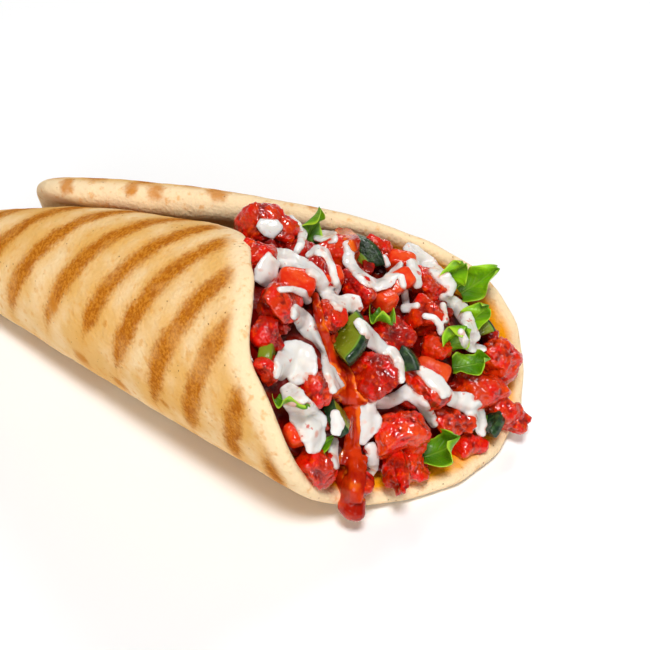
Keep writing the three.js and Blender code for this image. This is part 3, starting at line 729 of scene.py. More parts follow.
def make_chicken(finish):
    draw = np.random.default_rng(CHICKEN_SEED)
    ball, faces = round_lump(PIECE_FINENESS)
    lumps = []
    for (along, across, lift, length, width, turn), tone in zip(CHICKEN, CHICKEN_TONES):
        lump, standing = meat_lump(ball, length, width, draw.uniform(*CRUMB_RANGE), draw)
        tip = draw.uniform(-1, 1) * CHICKEN_TIP
        lumps.append((place_on_mouth(lump, along, across, lift, turn, tip), standing, tone))
    return add_meat("chicken_pieces", lumps, faces, finish, PIECE_DEPTH)


def make_scraps(finish):
    """Small scraps of meat between the pieces."""
    draw = np.random.default_rng(CHICKEN_SEED + 1)
    ball, faces = round_lump(SCRAP_FINENESS)
    loop = mouth_loop(LENS_SIDES)
    loop = np.concatenate([loop, np.linspace(loop[-1], loop[0], CHORD_POINTS)])
    middle = loop.mean(axis=0)
    lumps = []
    for _ in range(SCRAP_COUNT):
        edge = loop[draw.integers(len(loop))]
        spot = middle + math.sqrt(draw.uniform()) * SCRAP_SPREAD * (edge - middle)
        length = draw.uniform(*SCRAP_LENGTHS)
        width = length * draw.uniform(*SCRAP_WIDTHS)
        lump, standing = meat_lump(ball, length, width, SCRAP_CRUMB, draw)
        lift = draw.uniform(*SCRAP_LIFTS)
        placed = place_on_mouth(lump, spot[0], spot[1], lift, draw.uniform(*SCRAP_TURNS), 0)
        lumps.append((placed, standing, draw.uniform(*SCRAP_TONES)))
    return add_meat("chicken_scraps", lumps, faces, finish, SCRAP_DEPTH)


def chicken_finish():
    finish = new_finish("red_spiced_chicken", Specular_IOR_Level=0.12, Coat_Weight=0.85, Coat_Roughness=0.05,
                        Subsurface_Weight=0.06, Subsurface_Radius=(0.003, 0.0008, 0.0004))
    base = blend(finish, value_at(finish, "tone"), DEEP_MEAT, ORANGE_MEAT)
    base = blend(finish, patches(finish, *GLAZE_PATCHES), base, RED_GLAZE)
    base = blend(finish, patches(finish, *OIL_PATCHES), base, ORANGE_OIL)
    # Painted shade: the meat is darkened where it stands least far out of its crevices.
    base = blend(finish, rise(finish, value_at(finish, "standing"), *CREVICE_SHADE_REACH), base, CREVICE_PAINTED_SHADE)
    base = blend(finish, specks(finish, *CHAR_SPECKS), base, CHAR_BROWN)
    # Painted shade: the scraps, and most of all the core inside the roll, are darkened towards a deep
    # red-brown.
    shaded = both(finish, value_at(finish, "painted_shade_depth"), PAINTED_HEAP_SHADE_STRENGTH)
    set_on_shader(finish, "Base Color", blend(finish, shaded, base, PAINTED_HEAP_SHADE))
    set_on_shader(finish, "Roughness", patches(finish, *WET_PATCHES))
    grain = grains(finish, MEAT_GRAIN_SIZE)
    add_relief(finish, calculate(finish, "SUBTRACT", mottle(finish, *MEAT_FIBRE), grain), MEAT_RELIEF)
    return finish


chicken_red = chicken_finish()
core_points, core_faces = joined([lens_body(), plug_body()])
core_points[:, 2] = np.maximum(core_points[:, 2], FILLING_LOWEST)
filling_core = add_piece("filling_core", core_points, core_faces, chicken_red,
                         {"painted_shade_depth": np.full(len(core_points), CORE_DEPTH)})
chicken_pieces = make_chicken(chicken_red)
chicken_scraps = make_scraps(chicken_red)
for meat in (filling_core, chicken_pieces, chicken_scraps):
    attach(meat, "root")
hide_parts("chicken_filling")

# Lettuce
# Torn ends of curly green leaves, tucked between the pieces of chicken. Each is a thin cupped blade with
# ruffled sides and a pale rib down its middle.
# Leaves: along, across, lift, length, width, turn, rise, curl, how pointed it is.
LETTUCE = [
    (-30, 16, 0, 12, 10, 140, 62, 10, 0.85), (17, 35, 2, 15, 11, 60, 58, 25, 0.3),
    (11.5, 31.5, 1, 12, 9, 110, 50, 60, 0), (23.5, 24.5, 1, 11, 8, 70, 50, 40, 0),
    (23.5, 12, 2, 12, 9, 130, 50, 70, 0), (28.5, 10, 2, 12, 8, 35, 30, 40, 0),
    (39, -12.5, 2, 15, 11, 40, 40, 75, 0), (-1, -1.5, 1.5, 9, 7, -30, 30, 30, 0),
    (-7.5, -46, 1, 12, 7, -20, 35, 30, 0), (11.2, -45, 0, 10, 5, 81, 15, 20, 0.5),
]
# How far each leaf is from bright green towards deep green.
LETTUCE_TONES = [0.6, 0.05, 0.1, 0.25, 0.1, 0.6, 0.65, 0.8, 0.6, 0.35]
LEAF_THICKNESS = 0.7
LEAF_EDGE_THINNING = 0.6
LEAF_CUP = 1.6
LEAF_RUFFLE = 2.0
LEAF_WAVES = 2.4
LEAF_SKEW = 2.2
LEAF_BASE = 0.12
LEAF_TAPER = 0.86
LEAF_CELLS = (44, 30)
LEAF_FRILL = 0.22
LEAF_FRILL_WAVES = 7.0
LEAF_SCALLOP = 0.02
LEAF_GREEN = (122, 184, 6)
LEAF_LIGHT = (164, 216, 20)
LEAF_DEEP = (62, 118, 4)
LEAF_FOOT = (58, 104, 4)
# Painted shade in the low parts of a leaf's folds.
LEAF_FOLD_SHADE = (60, 112, 2)
LEAF_EDGE = (178, 222, 44)
LEAF_VEIN = (186, 214, 80)
LEAF_PATCHES = (5.0, 3.0, 0.35, 0.65)
LEAF_FOOT_REACH = (0.45, 0.0, 0.0, 0.8)
LEAF_FOLD_SHADE_REACH = (0.8, -0.4, 0.0, 0.7)
LEAF_EDGE_REACH = (0.8, 1.0, 0.0, 0.7)
RIB_REACH = (0.1, 0.02)
VEIN_SLANT = 0.35
VEIN_COUNT = 7.0
VEIN_HALF_GAP = 0.5
VEIN_REACH = (0.12, 0.02, 0.0, 0.5)
VEIN_END_REACH = (1.0, 0.5)
VEIN_STRENGTH = 0.14
LEAF_GRAIN = (1.5, 4.0)
LEAF_RELIEF = 0.2


def sheet_faces(cells_long, cells_wide):
    """Faces of a two-sided sheet with a closed edge."""
    row = cells_wide + 1
    size = (cells_long + 1) * row
    faces = []
    for i in range(cells_long):
        for j in range(cells_wide):
            corner = i * row + j
            face = (corner, corner + row, corner + row + 1, corner + 1)
            faces.append(face)
            faces.append(tuple(size + index for index in face[::-1]))
    edge = [i * row for i in range(cells_long)]
    edge += [cells_long * row + j for j in range(cells_wide)]
    edge += [i * row + cells_wide for i in range(cells_long, 0, -1)]
    edge += list(range(cells_wide, 0, -1))
    for i, corner in enumerate(edge):
        following = edge[(i + 1) % len(edge)]
        faces.append((corner, corner + size, following + size, following))
    return faces


def leaf_body(length, width, curl, pointed, phase):
    """Both faces of a leaf about its base, with each point's place on the blade and in its folds."""
    lengthwise = np.linspace(0, 1, LEAF_CELLS[0] + 1)
    crosswise = np.linspace(-1, 1, LEAF_CELLS[1] + 1)
    share, sideways = (grid.ravel() for grid in np.meshgrid(lengthwise, crosswise, indexing="ij"))
    bent = math.radians(curl) * share
    half = width / 2 * np.sqrt(np.sin(math.pi * (LEAF_BASE + LEAF_TAPER * share))) * (1 - pointed * share)
    half = half * (1 + LEAF_SCALLOP * np.sin(LEAF_FRILL_WAVES * math.pi * share + phase))
    wave = LEAF_RUFFLE * np.sin(LEAF_WAVES * math.pi * share + phase + LEAF_SKEW * sideways) * sideways
    frill = LEAF_FRILL * np.sin(LEAF_FRILL_WAVES * math.pi * share + 2 * phase) * np.abs(sideways) ** 3
    height = LEAF_CUP * sideways**2 + wave + frill * (1 - pointed)
    points = []
    for face in (1, -1):
        up = height + face * LEAF_THICKNESS / 2 * (1 - LEAF_EDGE_THINNING * sideways**4)
        forward = share * length * np.cos(bent / 2) - up * np.sin(bent)
        climb = share * length * np.sin(bent / 2) + up * np.cos(bent)
        points.append(np.stack([forward, sideways * half, climb], 1))
    marks = {"leaf_along": share, "leaf_across": sideways, "fold": height}
    marks = {label: np.tile(values, 2) for label, values in marks.items()}
    return np.concatenate(points), sheet_faces(*LEAF_CELLS), marks


def leaf_veins(finish, along, sideways):
    """Share of the rib down the middle of a leaf and of the veins that slant away from it."""
    rib = rise(finish, sideways, *RIB_REACH)
    branch = calculate(finish, "SUBTRACT", along, calculate(finish, "MULTIPLY", sideways, VEIN_SLANT))
    branch = calculate(finish, "PINGPONG", calculate(finish, "MULTIPLY", branch, VEIN_COUNT), VEIN_HALF_GAP)
    vein = both(finish, rise(finish, branch, *VEIN_REACH), rise(finish, sideways, *VEIN_END_REACH))
    return calculate(finish, "MAXIMUM", rib, vein)


def lettuce_finish():
    finish = new_finish("green_lettuce", Roughness=0.36, Specular_IOR_Level=0.4, Subsurface_Weight=0.2,
                        Subsurface_Radius=(0.001, 0.0018, 0.0003))
    along = value_at(finish, "leaf_along")
    sideways = calculate(finish, "ABSOLUTE", value_at(finish, "leaf_across"))
    green = blend(finish, patches(finish, *LEAF_PATCHES), LEAF_GREEN, LEAF_LIGHT)
    green = blend(finish, value_at(finish, "leaf_tone"), green, LEAF_DEEP)
    green = blend(finish, rise(finish, along, *LEAF_FOOT_REACH), green, LEAF_FOOT)
    # Painted shade: the leaf is darkened where its folds dip lowest.
    green = blend(finish, rise(finish, value_at(finish, "fold"), *LEAF_FOLD_SHADE_REACH), green, LEAF_FOLD_SHADE)
    green = blend(finish, rise(finish, sideways, *LEAF_EDGE_REACH), green, LEAF_EDGE)
    veins = leaf_veins(finish, along, sideways)
    set_on_shader(finish, "Base Color", blend(finish, both(finish, veins, VEIN_STRENGTH), green, LEAF_VEIN))
    add_relief(finish, calculate(finish, "ADD", mottle(finish, *LEAF_GRAIN), veins), LEAF_RELIEF)
    return finish


leaf_green = lettuce_finish()
salad = []
for i, (along, across, lift, length, width, turn, climb, curl, pointed) in enumerate(LETTUCE):
    body, faces, marks = leaf_body(length, width, curl, pointed, i)
    marks["leaf_tone"] = np.full(len(body), LETTUCE_TONES[i])
    places = place_on_mouth(body, along, across, lift, turn, climb)
    leaf = add_piece(f"leaf_{i + 1}", places, faces, leaf_green, marks)
    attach(leaf, "root")
    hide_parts(f"lettuce_{i + 1}")
    salad.append(leaf)

# Cucumber
# Sectors cut from slices of cucumber with the dark skin left on the round side: pale wet flesh with seeds
# towards the narrow end. They lie loose among the chicken.
# Pieces: along, across, lift, radius, thickness, arc, turn, tip.
CUCUMBER = [
    (-2, -16, 3.5, 13, 4, 95, 20, 50), (-17.5, -37, -2.5, 10, 4, 100, 200, 50),
    (49.5, 11, 5, 11, 3.6, 60, 10, 70), (27.5, 28.5, 3, 9, 4, 60, 90, 40), (15.5, -4.5, 3, 9, 4, 60, 70, 60),
    (10, -34, 3, 9, 4, 80, 240, 30), (-14, 22.5, 2, 11, 4, 80, 90, 60),
]
# Pieces cut so close to the outside that they show little but skin.
CUCUMBER_PEELINGS = (3, 5, 7)
CUCUMBER_PEEL = 0.35
# Pieces that show nothing but flesh.
CUCUMBER_PEELED = (2,)
CUCUMBER_FLESH = 0.88
CUCUMBER_INNER = 0.25
CUCUMBER_MIDDLE = 0.62
CUCUMBER_ROWS = 14
CUCUMBER_STEPS = 22
CUCUMBER_EDGE = 0.45
CUCUMBER_DENT = 0.12
CUCUMBER_DENT_SIZE = 2.5
SEEDED_FLESH = (82, 84, 4)
FIRM_FLESH = (122, 134, 24)
SEED_GREEN = (150, 146, 50)
UNDER_SKIN = (112, 150, 48)
DARK_SKIN = (24, 46, 26)
LIGHT_SKIN = (50, 78, 38)
SKIN_PATCHES = (2.0, 3.0, 0.4, 0.7)
FIRM_FLESH_REACH = (0.45, 0.8)
SEEDED_REACH = (0.75, 0.6)
UNDER_SKIN_REACH = (0.87, 0.92)
SKIN_REACH = (0.92, 0.96)
SEED_SPECKS = (2.2, 0.4, 0.2)
SEED_STRENGTH = 0.35
FLESH_GRAIN = (1.0, 3.0)
FLESH_RELIEF = 0.2


def cucumber_body(radius, thickness, arc):
    """A soft-edged sector of a slice about its own middle, with each point's share of the radius."""
    half = math.radians(arc) / 2
    radii, angles = np.meshgrid(np.linspace(CUCUMBER_INNER, 1, CUCUMBER_ROWS + 1) * radius,
                                np.linspace(-half, half, CUCUMBER_STEPS + 1), indexing="ij")
    radii, angles = radii.ravel(), angles.ravel()
    flat = np.stack([radii * np.cos(angles), radii * np.sin(angles)], 1)
    from_cut = radii * np.minimum(half - angles, half + angles)
    from_edge = np.minimum(np.minimum(radius - radii, from_cut), radii - CUCUMBER_INNER * radius)
    level = np.sqrt(np.clip(1 - (1 - np.clip(from_edge / CUCUMBER_EDGE, 0, 1)) ** 2, 0, 1))
    up = thickness / 2 - CUCUMBER_EDGE * (1 - level)
    up = up + CUCUMBER_DENT * ripple(np.column_stack([flat, up]), CUCUMBER_DENT_SIZE)
    points = np.concatenate([np.column_stack([flat, face * up]) for face in (1, -1)])
    points[:, 0] -= CUCUMBER_MIDDLE * radius
    return points, sheet_faces(CUCUMBER_ROWS, CUCUMBER_STEPS), np.tile(radii / radius, 2)


def cucumber_finish():
    finish = new_finish("cut_cucumber", Roughness=0.25, Specular_IOR_Level=0.45, Subsurface_Weight=0.15,
                        Subsurface_Radius=(0.002, 0.003, 0.001))
    share = value_at(finish, "from_core")
    flesh = blend(finish, rise(finish, share, *FIRM_FLESH_REACH), SEEDED_FLESH, FIRM_FLESH)
    seeds = both(finish, specks(finish, *SEED_SPECKS), rise(finish, share, *SEEDED_REACH))
    flesh = blend(finish, both(finish, seeds, SEED_STRENGTH), flesh, SEED_GREEN)
    flesh = blend(finish, rise(finish, share, *UNDER_SKIN_REACH), flesh, UNDER_SKIN)
    skin = blend(finish, patches(finish, *SKIN_PATCHES), DARK_SKIN, LIGHT_SKIN)
    set_on_shader(finish, "Base Color", blend(finish, rise(finish, share, *SKIN_REACH), flesh, skin))
    add_relief(finish, calculate(finish, "ADD", mottle(finish, *FLESH_GRAIN), seeds), FLESH_RELIEF)
    return finish


cucumber_green = cucumber_finish()
for i, (along, across, lift, radius, thickness, arc, turn, tip) in enumerate(CUCUMBER):
    body, faces, from_core = cucumber_body(radius, thickness, arc)
    if i + 1 in CUCUMBER_PEELINGS:
        from_core = from_core + CUCUMBER_PEEL
    if i + 1 in CUCUMBER_PEELED:
        from_core = from_core * CUCUMBER_FLESH
    places = place_on_mouth(body, along, across, lift, turn, tip)
    marks = {"from_core": from_core}
    slice_piece = add_piece(f"cucumber_cut_{i + 1}", places, faces, cucumber_green, marks)
    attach(slice_piece, "root")
    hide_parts(f"cucumber_{i + 1}")
    salad.append(slice_piece)

# Tomato
# Dice of ripe tomato, wet where they are cut, with softened corners. They lie loose among the chicken.
# Dice: along, across, lift, length, width, height, turn, tip.
TOMATO = [
    (4.2, -44.2, 0, 9, 7, 6.5, 60, 20), (-24.5, -14.5, 3, 11, 8, 6, 30, 15), (-18, -2.5, 3, 8, 6, 6, 50, 25),
    (-3.5, 29, 2, 9, 6, 7, 20, 20), (-1, 15, 4.5, 10, 6.5, 6, 70, 30), (-2, 5.5, 3, 9, 6.5, 6, -20, 20),
    (24, 1, 3, 11, 9, 6, 10, 20),
]
TOMATO_SQUARENESS = 4.5
TOMATO_DENT = 0.07
TOMATO_DENT_SIZE = 3.5
TOMATO_DENT_SHIFT = 7.0
TOMATO_FINENESS = 5
TOMATO_RED = (216, 40, 8)
TOMATO_CORAL = (234, 84, 34)
TOMATO_PATCHES = (4.0, 3.0, 0.35, 0.7)
TOMATO_GRAIN = (1.2, 3.0)
TOMATO_RELIEF = 0.2


def tomato_body(ball, length, width, height, shift):
    powered = (np.abs(ball) ** TOMATO_SQUARENESS).sum(axis=1) ** (1 / TOMATO_SQUARENESS)
    sizes = np.array([length, width, height]) / 2
    dent = 1 + TOMATO_DENT * ripple(ball * sizes, TOMATO_DENT_SIZE, shift)
    return ball / powered[:, None] * dent[:, None] * sizes


def tomato_finish():
    finish = new_finish("cut_tomato", Roughness=0.14, Specular_IOR_Level=0.35, Subsurface_Weight=0.15,
                        Subsurface_Radius=(0.003, 0.001, 0.0005))
    flesh = blend(finish, patches(finish, *TOMATO_PATCHES), TOMATO_RED, TOMATO_CORAL)
    set_on_shader(finish, "Base Color", flesh)
    add_relief(finish, mottle(finish, *TOMATO_GRAIN), TOMATO_RELIEF)
    return finish


tomato_red = tomato_finish()
dice_ball, dice_faces = round_lump(TOMATO_FINENESS)
for i, (along, across, lift, length, width, height, turn, tip) in enumerate(TOMATO):
    body = tomato_body(dice_ball, length, width, height, TOMATO_DENT_SHIFT * i)
    places = place_on_mouth(body, along, across, lift, turn, tip)
    dice = add_piece(f"tomato_dice_{i + 1}", places, dice_faces, tomato_red)
    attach(dice, "root")
    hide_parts(f"tomato_{i + 1}")
    salad.append(dice)

# Camera
# It stands where the photograph was taken from, above and before the open mouth, with a long lens. The
# sauces below are laid along lines of sight from it, so it comes before them.
PICTURE_SIDE = 650
CAMERA_PLACE = (240.91, -411.99, 416.17)
CAMERA_TURN = (50.741, -0.868, 26.639)
CAMERA_LENS = 109.5
CAMERA_SENSOR = 36.0
PIXELS_PER_FOCUS = CAMERA_LENS / CAMERA_SENSOR * PICTURE_SIDE

camera_data = bpy.data.cameras.new("camera")
camera_data.lens = CAMERA_LENS
camera_data.sensor_width = CAMERA_SENSOR
camera = bpy.data.objects.new("camera", camera_data)
camera.location = Vector(CAMERA_PLACE) * MM
camera.rotation_euler = Euler([math.radians(angle) for angle in CAMERA_TURN])
bpy.context.scene.collection.objects.link(camera)
bpy.context.scene.camera = camera
bpy.context.view_layer.update()

# Yoghurt sauce
# Thick white yoghurt poured in ribbons over the finished heap, where it sags over the pieces and spans the
# gaps between them. Each ribbon is a row of places in the photograph: right, down and half width, in pixels.
YOGHURT = [
    [(261, 224, 5), (269, 228, 8), (277, 226, 6), (271, 235, 4)],
    [(292, 218, 3), (299, 224, 3.5), (303, 234, 4), (301, 244, 3.5), (297, 251, 3)],
    [(283, 254, 5), (276, 258, 8), (268, 265, 9), (266, 274, 10), (261, 281, 7)],
    [(276, 258, 7), (288, 258, 8), (297, 262, 6), (308, 268, 6), (318, 276, 6), (324, 287, 6), (329, 297, 6),
     (337, 303, 7), (347, 303, 9), (355, 304, 8), (351, 310, 6)],
    [(309, 255, 3), (317, 250, 5), (326, 253, 5), (331, 264, 3.5), (334, 277, 3.5), (338, 287, 3),
     (335, 294, 3)],
    [(317, 238, 4), (326, 237, 7), (334, 236, 6)],
    [(347, 244, 4), (349, 253, 5), (348, 261, 5), (355, 270, 5), (366, 280, 6), (376, 285, 6), (388, 281, 6),
     (396, 271, 5), (400, 265, 3)],
    [(279, 290, 2.5), (293, 289, 2.5), (303, 293, 3.5), (308, 301, 3.5)],
    [(293, 310, 6), (299, 315, 7), (305, 323, 8), (310, 331, 7), (318, 339, 6), (326, 351, 5), (328, 364, 5),
     (331, 378, 6), (337, 388, 7)],
    [(384, 258, 3), (387, 264, 3)],
    [(408, 247, 5), (414, 253, 7), (423, 259, 7), (431, 266, 6), (437, 273, 6), (445, 280, 6), (452, 286, 5),
     (450, 293, 3)],
    [(413, 262, 6), (415, 273, 5), (418, 285, 4)],
    [(442, 297, 4), (453, 302, 6), (461, 310, 7), (467, 320, 6), (471, 328, 5), (475, 337, 5),
     (468, 341, 3)],
    [(425, 316, 2.5), (434, 318, 3), (440, 325, 3), (441, 332, 3)],
    [(443, 305, 2.5), (445, 318, 2.5), (446, 328, 2.5)],
    [(401, 277, 3), (404, 290, 3), (406, 303, 3)],
    [(404, 308, 4), (411, 308, 4), (417, 306, 3)],
    [(461, 332, 3), (465, 343, 4), (472, 348, 5), (483, 349, 3.5)],
    [(278, 376, 6), (284, 366, 10), (293, 353, 12), (305, 356, 11), (303, 369, 11), (291, 378, 9)],
    [(286, 388, 6), (294, 399, 10), (303, 411, 12), (310, 424, 13), (314, 438, 11), (313, 450, 6)],
    [(335, 413, 4), (338, 423, 6), (336, 432, 5)],
    [(334, 441, 4), (333, 454, 5), (336, 466, 4)],
    [(367, 403, 7), (367, 413, 9), (369, 423, 10), (364, 433, 7), (361, 441, 5)],
    [(370, 446, 5), (373, 456, 6), (373, 467, 5), (371, 473, 3)],
    [(376, 402, 6), (388, 402, 6), (399, 397, 6), (408, 391, 7), (419, 400, 6), (428, 412, 5),
     (434, 424, 4)],
    [(358, 322, 4), (366, 330, 6), (373, 340, 7), (383, 350, 6), (392, 353, 6), (399, 363, 4.5),
     (401, 380, 3.5)],
    [(420, 370, 4), (428, 376, 6), (437, 383, 7), (444, 391, 6), (450, 398, 6), (458, 400, 7), (467, 403, 8),
     (474, 409, 8), (478, 418, 7), (480, 428, 6), (482, 433, 4)],
]
# Steps, lanes and beads of a ribbon are in pixels. The sheet that they make is in millimetres.
SAUCE_STEP = 2.0
SAUCE_LEAST_STEPS = 3
SAUCE_LANE_GAP = 2.0
SAUCE_LANE_SHIFT = 3
SAUCE_BEAD = 3.6
SAUCE_UNEVEN = 0.35
SAUCE_UNEVEN_SIZE = 11.0
SAUCE_WIDEN = 1.22
# Lanes and steps on each side over which the sheet is levelled.
SAUCE_REACH = (2, 3)
SAUCE_SPAN = 4.0
SAUCE_FACING = 0.3
SAUCE_BRIDGE = 8.0
SAUCE_BRIDGE_STEP = 0.7
SAUCE_THICKNESS = 0.72
SAUCE_EDGE_THICKNESS = 0.45
SAUCE_SPREAD = 0.15
SAUCE_VOXEL = 0.36
SAUCE_STEPS_IN_AND_OUT = (0.6, -0.63)
SAUCE_ROUNDS = 50
SAUCE_WAVE = 0.1
SAUCE_WAVE_SIZE = 3.5
SAUCE_DROP_FINENESS = 2
YOGHURT_WHITE = (236, 230, 222)
YOGHURT_PINK = (236, 210, 198)
YOGHURT_FILM = (236, 168, 148)
YOGHURT_STAIN = (206, 62, 36)
HERB_GREEN = (96, 96, 70)
PINK_PATCHES = (6.0, 3.0, 0.55, 0.75)
STAIN_PATCHES = (3.0, 4.0, 0.66, 0.72, 0.0, 0.8)
YOGHURT_FILM_REACH = (0.6, 0.15, 0.0, 0.75)
HERB_SPECKS = (4.0, 0.09, 0.06, 0.0, 0.5)
YOGHURT_GRAIN = (2.0, 3.0)
YOGHURT_RELIEF = 0.06


def surface_of(pieces):
    """The outer surface of several pieces, in millimetres, for a line of sight to meet."""
    bodies = []
    for piece in pieces:
        points = np.array([vertex.co for vertex in piece.data.vertices]) / MM
        bodies.append((points, [tuple(polygon.vertices) for polygon in piece.data.polygons]))
    points, faces = joined(bodies)
    return BVHTree.FromPolygons([Vector(point) for point in points], faces)


def sights_through(right, down):
    """Directions of the lines of sight through places in the picture."""
    half = PICTURE_SIDE / 2
    sights = np.stack([right - half, half - down, np.full(right.shape, -PIXELS_PER_FOCUS)], -1)
    return unit(sights @ np.array(camera.matrix_world.to_3x3()).T)


def met_distances(surface, sights):
    """Distance at which each line of sight meets the surface."""
    eye = Vector(CAMERA_PLACE)
    met = [surface.ray_cast(eye, Vector(sight))[3] or eye.length for sight in sights.reshape(-1, 3)]
    return np.array(met).reshape(*sights.shape[:2], 1)


def along_path(path):
    """Places at even steps on a path, each with its width."""
    stops = np.array(path, float)
    lengths = np.concatenate([[0], np.cumsum(np.linalg.norm(np.diff(stops[:, :2], axis=0), axis=1))])
    count = max(SAUCE_LEAST_STEPS, int(lengths[-1] / SAUCE_STEP))
    evenly = np.linspace(0, lengths[-1], count + 1)
    return np.stack([np.interp(evenly, lengths, stops[:, i]) for i in range(3)], 1)


def ribbon_grid(path):
    """Lines side by side that fill a ribbon with an uneven edge: right, down, radius, share of way out."""
    places = along_path(path)
    ahead = unit(np.gradient(places[:, :2], axis=0))
    sideways = np.stack([-ahead[:, 1], ahead[:, 0]], 1)
    half_width = SAUCE_WIDEN * places[:, 2]
    bead = np.minimum(half_width, SAUCE_BEAD)
    room = half_width - bead
    sides = max(1, math.ceil(room.max() / SAUCE_LANE_GAP))
    lanes = []
    for lane in range(-sides, sides + 1):
        shift = lane / sides
        uneven = 1 + SAUCE_UNEVEN * ripple(places, SAUCE_UNEVEN_SIZE, SAUCE_LANE_SHIFT * shift)
        spots = places[:, :2] + (shift * room * uneven)[:, None] * sideways
        lanes.append(np.column_stack([spots, bead, np.full(len(bead), abs(shift))]))
    return np.array(lanes)


def neighbours(grid):
    """The cells round each cell of a grid, stacked."""
    lanes, steps = SAUCE_REACH
    padded = np.pad(grid, ((lanes, lanes), (steps, steps), (0, 0)), mode="edge")
    shifts = [(i, j) for i in range(2 * lanes + 1) for j in range(2 * steps + 1)]
    return np.stack([padded[i:i + grid.shape[0], j:j + grid.shape[1]] for i, j in shifts])


def laid_ribbon(surface, path):
    """Lines of spots where a ribbon lies on the surface: place, way out of it, radius, thickness."""
    grid = ribbon_grid(path)
    sights = sights_through(grid[..., 0], grid[..., 1])
    met = met_distances(surface, sights)
    spanning = neighbours(neighbours(met).min(axis=0)).mean(axis=0)
    distances = neighbours(np.maximum(spanning, met - SAUCE_SPAN)).mean(axis=0)
    places = np.array(CAMERA_PLACE) + sights * distances
    facing = np.cross(np.gradient(places, axis=1), np.gradient(places, axis=0))
    facing = facing * -np.sign((facing * sights).sum(axis=-1, keepdims=True)) - SAUCE_FACING * sights
    radii = grid[..., 2] * distances[..., 0] / PIXELS_PER_FOCUS + SAUCE_SPREAD
    thicknesses = SAUCE_THICKNESS + grid[..., 3] * (SAUCE_EDGE_THICKNESS - SAUCE_THICKNESS)
    lines = []
    for line in zip(places, unit(facing), radii, thicknesses):
        lines.append([(Vector(spot), Vector(outward), *sizes) for spot, outward, *sizes in zip(*line)])
    return lines


def bridging(spots):
    """Drops that fill the steps between spots that lie near each other."""
    filled = []
    for before, after in zip(spots, spots[1:]):
        gap = (after[0] - before[0]).length
        if gap < SAUCE_BRIDGE:
            for share in np.arange(SAUCE_BRIDGE_STEP, gap, SAUCE_BRIDGE_STEP) / gap:
                outward = before[1].lerp(after[1], share).normalized()
                filled.append((before[0].lerp(after[0], share), outward, before[2], before[3]))
    return filled


def ribbon_drops(surface, paths):
    """Flat drops along every ribbon, joined along it and across it."""
    drops = []
    for path in paths:
        lines = laid_ribbon(surface, path)
        for line in lines:
            drops += line
        for line in [*lines, *zip(*lines)]:
            drops += bridging(line)
    return drops


def drop_points(ball, spot, outward, radius, thickness):
    turn = np.array(outward.to_track_quat("Z", "Y").to_matrix())
    return (ball * [radius, radius, thickness]) @ turn.T + np.array(spot)


def settled(points, edges):
    """Smooths a body by steps in and out, so that it keeps its thickness."""
    starts, ends = np.concatenate([edges, edges[:, ::-1]]).T
    counts = np.bincount(starts, minlength=len(points))
    for step in SAUCE_STEPS_IN_AND_OUT * SAUCE_ROUNDS:
        pulls = [np.bincount(starts, points[ends, axis], len(points)) / counts for axis in range(3)]
        points = points + step * (np.stack(pulls, 1) - points)
    return points


def poured(name, drops, surface, finish):
    """Runs drops together into one smooth body of sauce, with its depth over the surface below."""
    ball, ball_faces = round_lump(SAUCE_DROP_FINENESS)
    points, faces = joined([(drop_points(ball, *drop), ball_faces) for drop in drops])
    loose = add_piece(name, points, faces, finish)
    loose.modifiers.new("run_together", "REMESH").voxel_size = SAUCE_VOXEL * MM
    shape = bpy.data.meshes.new_from_object(loose.evaluated_get(bpy.context.evaluated_depsgraph_get()))
    bpy.data.objects.remove(loose)
    points = np.array([vertex.co for vertex in shape.vertices]) / MM
    points = settled(points, np.array([edge.vertices for edge in shape.edges]))
    points[:, 2] = np.maximum(points[:, 2] + SAUCE_WAVE * ripple(points, SAUCE_WAVE_SIZE), 0)
    faces = [tuple(polygon.vertices) for polygon in shape.polygons]
    bpy.data.meshes.remove(shape)
    film = [surface.find_nearest(Vector(point))[3] for point in points]
    return add_piece(name, points, faces, finish, {"film": film})


def yoghurt_finish():
    finish = new_finish("yoghurt_sauce", Roughness=0.2, Specular_IOR_Level=0.45, Subsurface_Weight=0.75,
                        Subsurface_Radius=(0.003, 0.0025, 0.002))
    white = blend(finish, patches(finish, *PINK_PATCHES), YOGHURT_WHITE, YOGHURT_PINK)
    white = blend(finish, rise(finish, value_at(finish, "film"), *YOGHURT_FILM_REACH), white, YOGHURT_FILM)
    white = blend(finish, patches(finish, *STAIN_PATCHES), white, YOGHURT_STAIN)
    white = blend(finish, specks(finish, *HERB_SPECKS), white, HERB_GREEN)
    set_on_shader(finish, "Base Color", white)
    add_relief(finish, mottle(finish, *YOGHURT_GRAIN), YOGHURT_RELIEF)
    return finish


heap = surface_of([filling_core, chicken_pieces, chicken_scraps, *salad, pita])
yoghurt = poured("yoghurt_sauce", ribbon_drops(heap, YOGHURT), heap, yoghurt_finish())
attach(yoghurt, "root")

# Hot sauce
# A thin stream of deep red chilli sauce, poured last over the yoghurt and the chicken. It pools at the lip
# and hangs over it in one thick drop. Its stream is measured like the yoghurt's ribbons.
HOT_SAUCE = [
    [(315, 296, 3), (318, 312, 4), (321, 325, 4), (326, 337, 4), (331, 352, 4), (336, 364, 5), (345, 373, 7),
     (349, 384, 7), (350, 394, 8), (352, 405, 8), (353, 418, 6), (353, 432, 6), (352, 443, 6), (352, 455, 9),
     (353, 466, 10), (354, 478, 10), (352, 490, 10), (352, 500, 10)],
    [(335, 394, 4), (345, 396, 7), (358, 398, 6), (364, 401, 4)],
    [(341, 458, 6), (364, 462, 6)],
    [(338, 232, 4), (346, 234, 6), (353, 241, 6), (355, 248, 4)],
]
DRIP_DIRECTION = math.radians(-31)
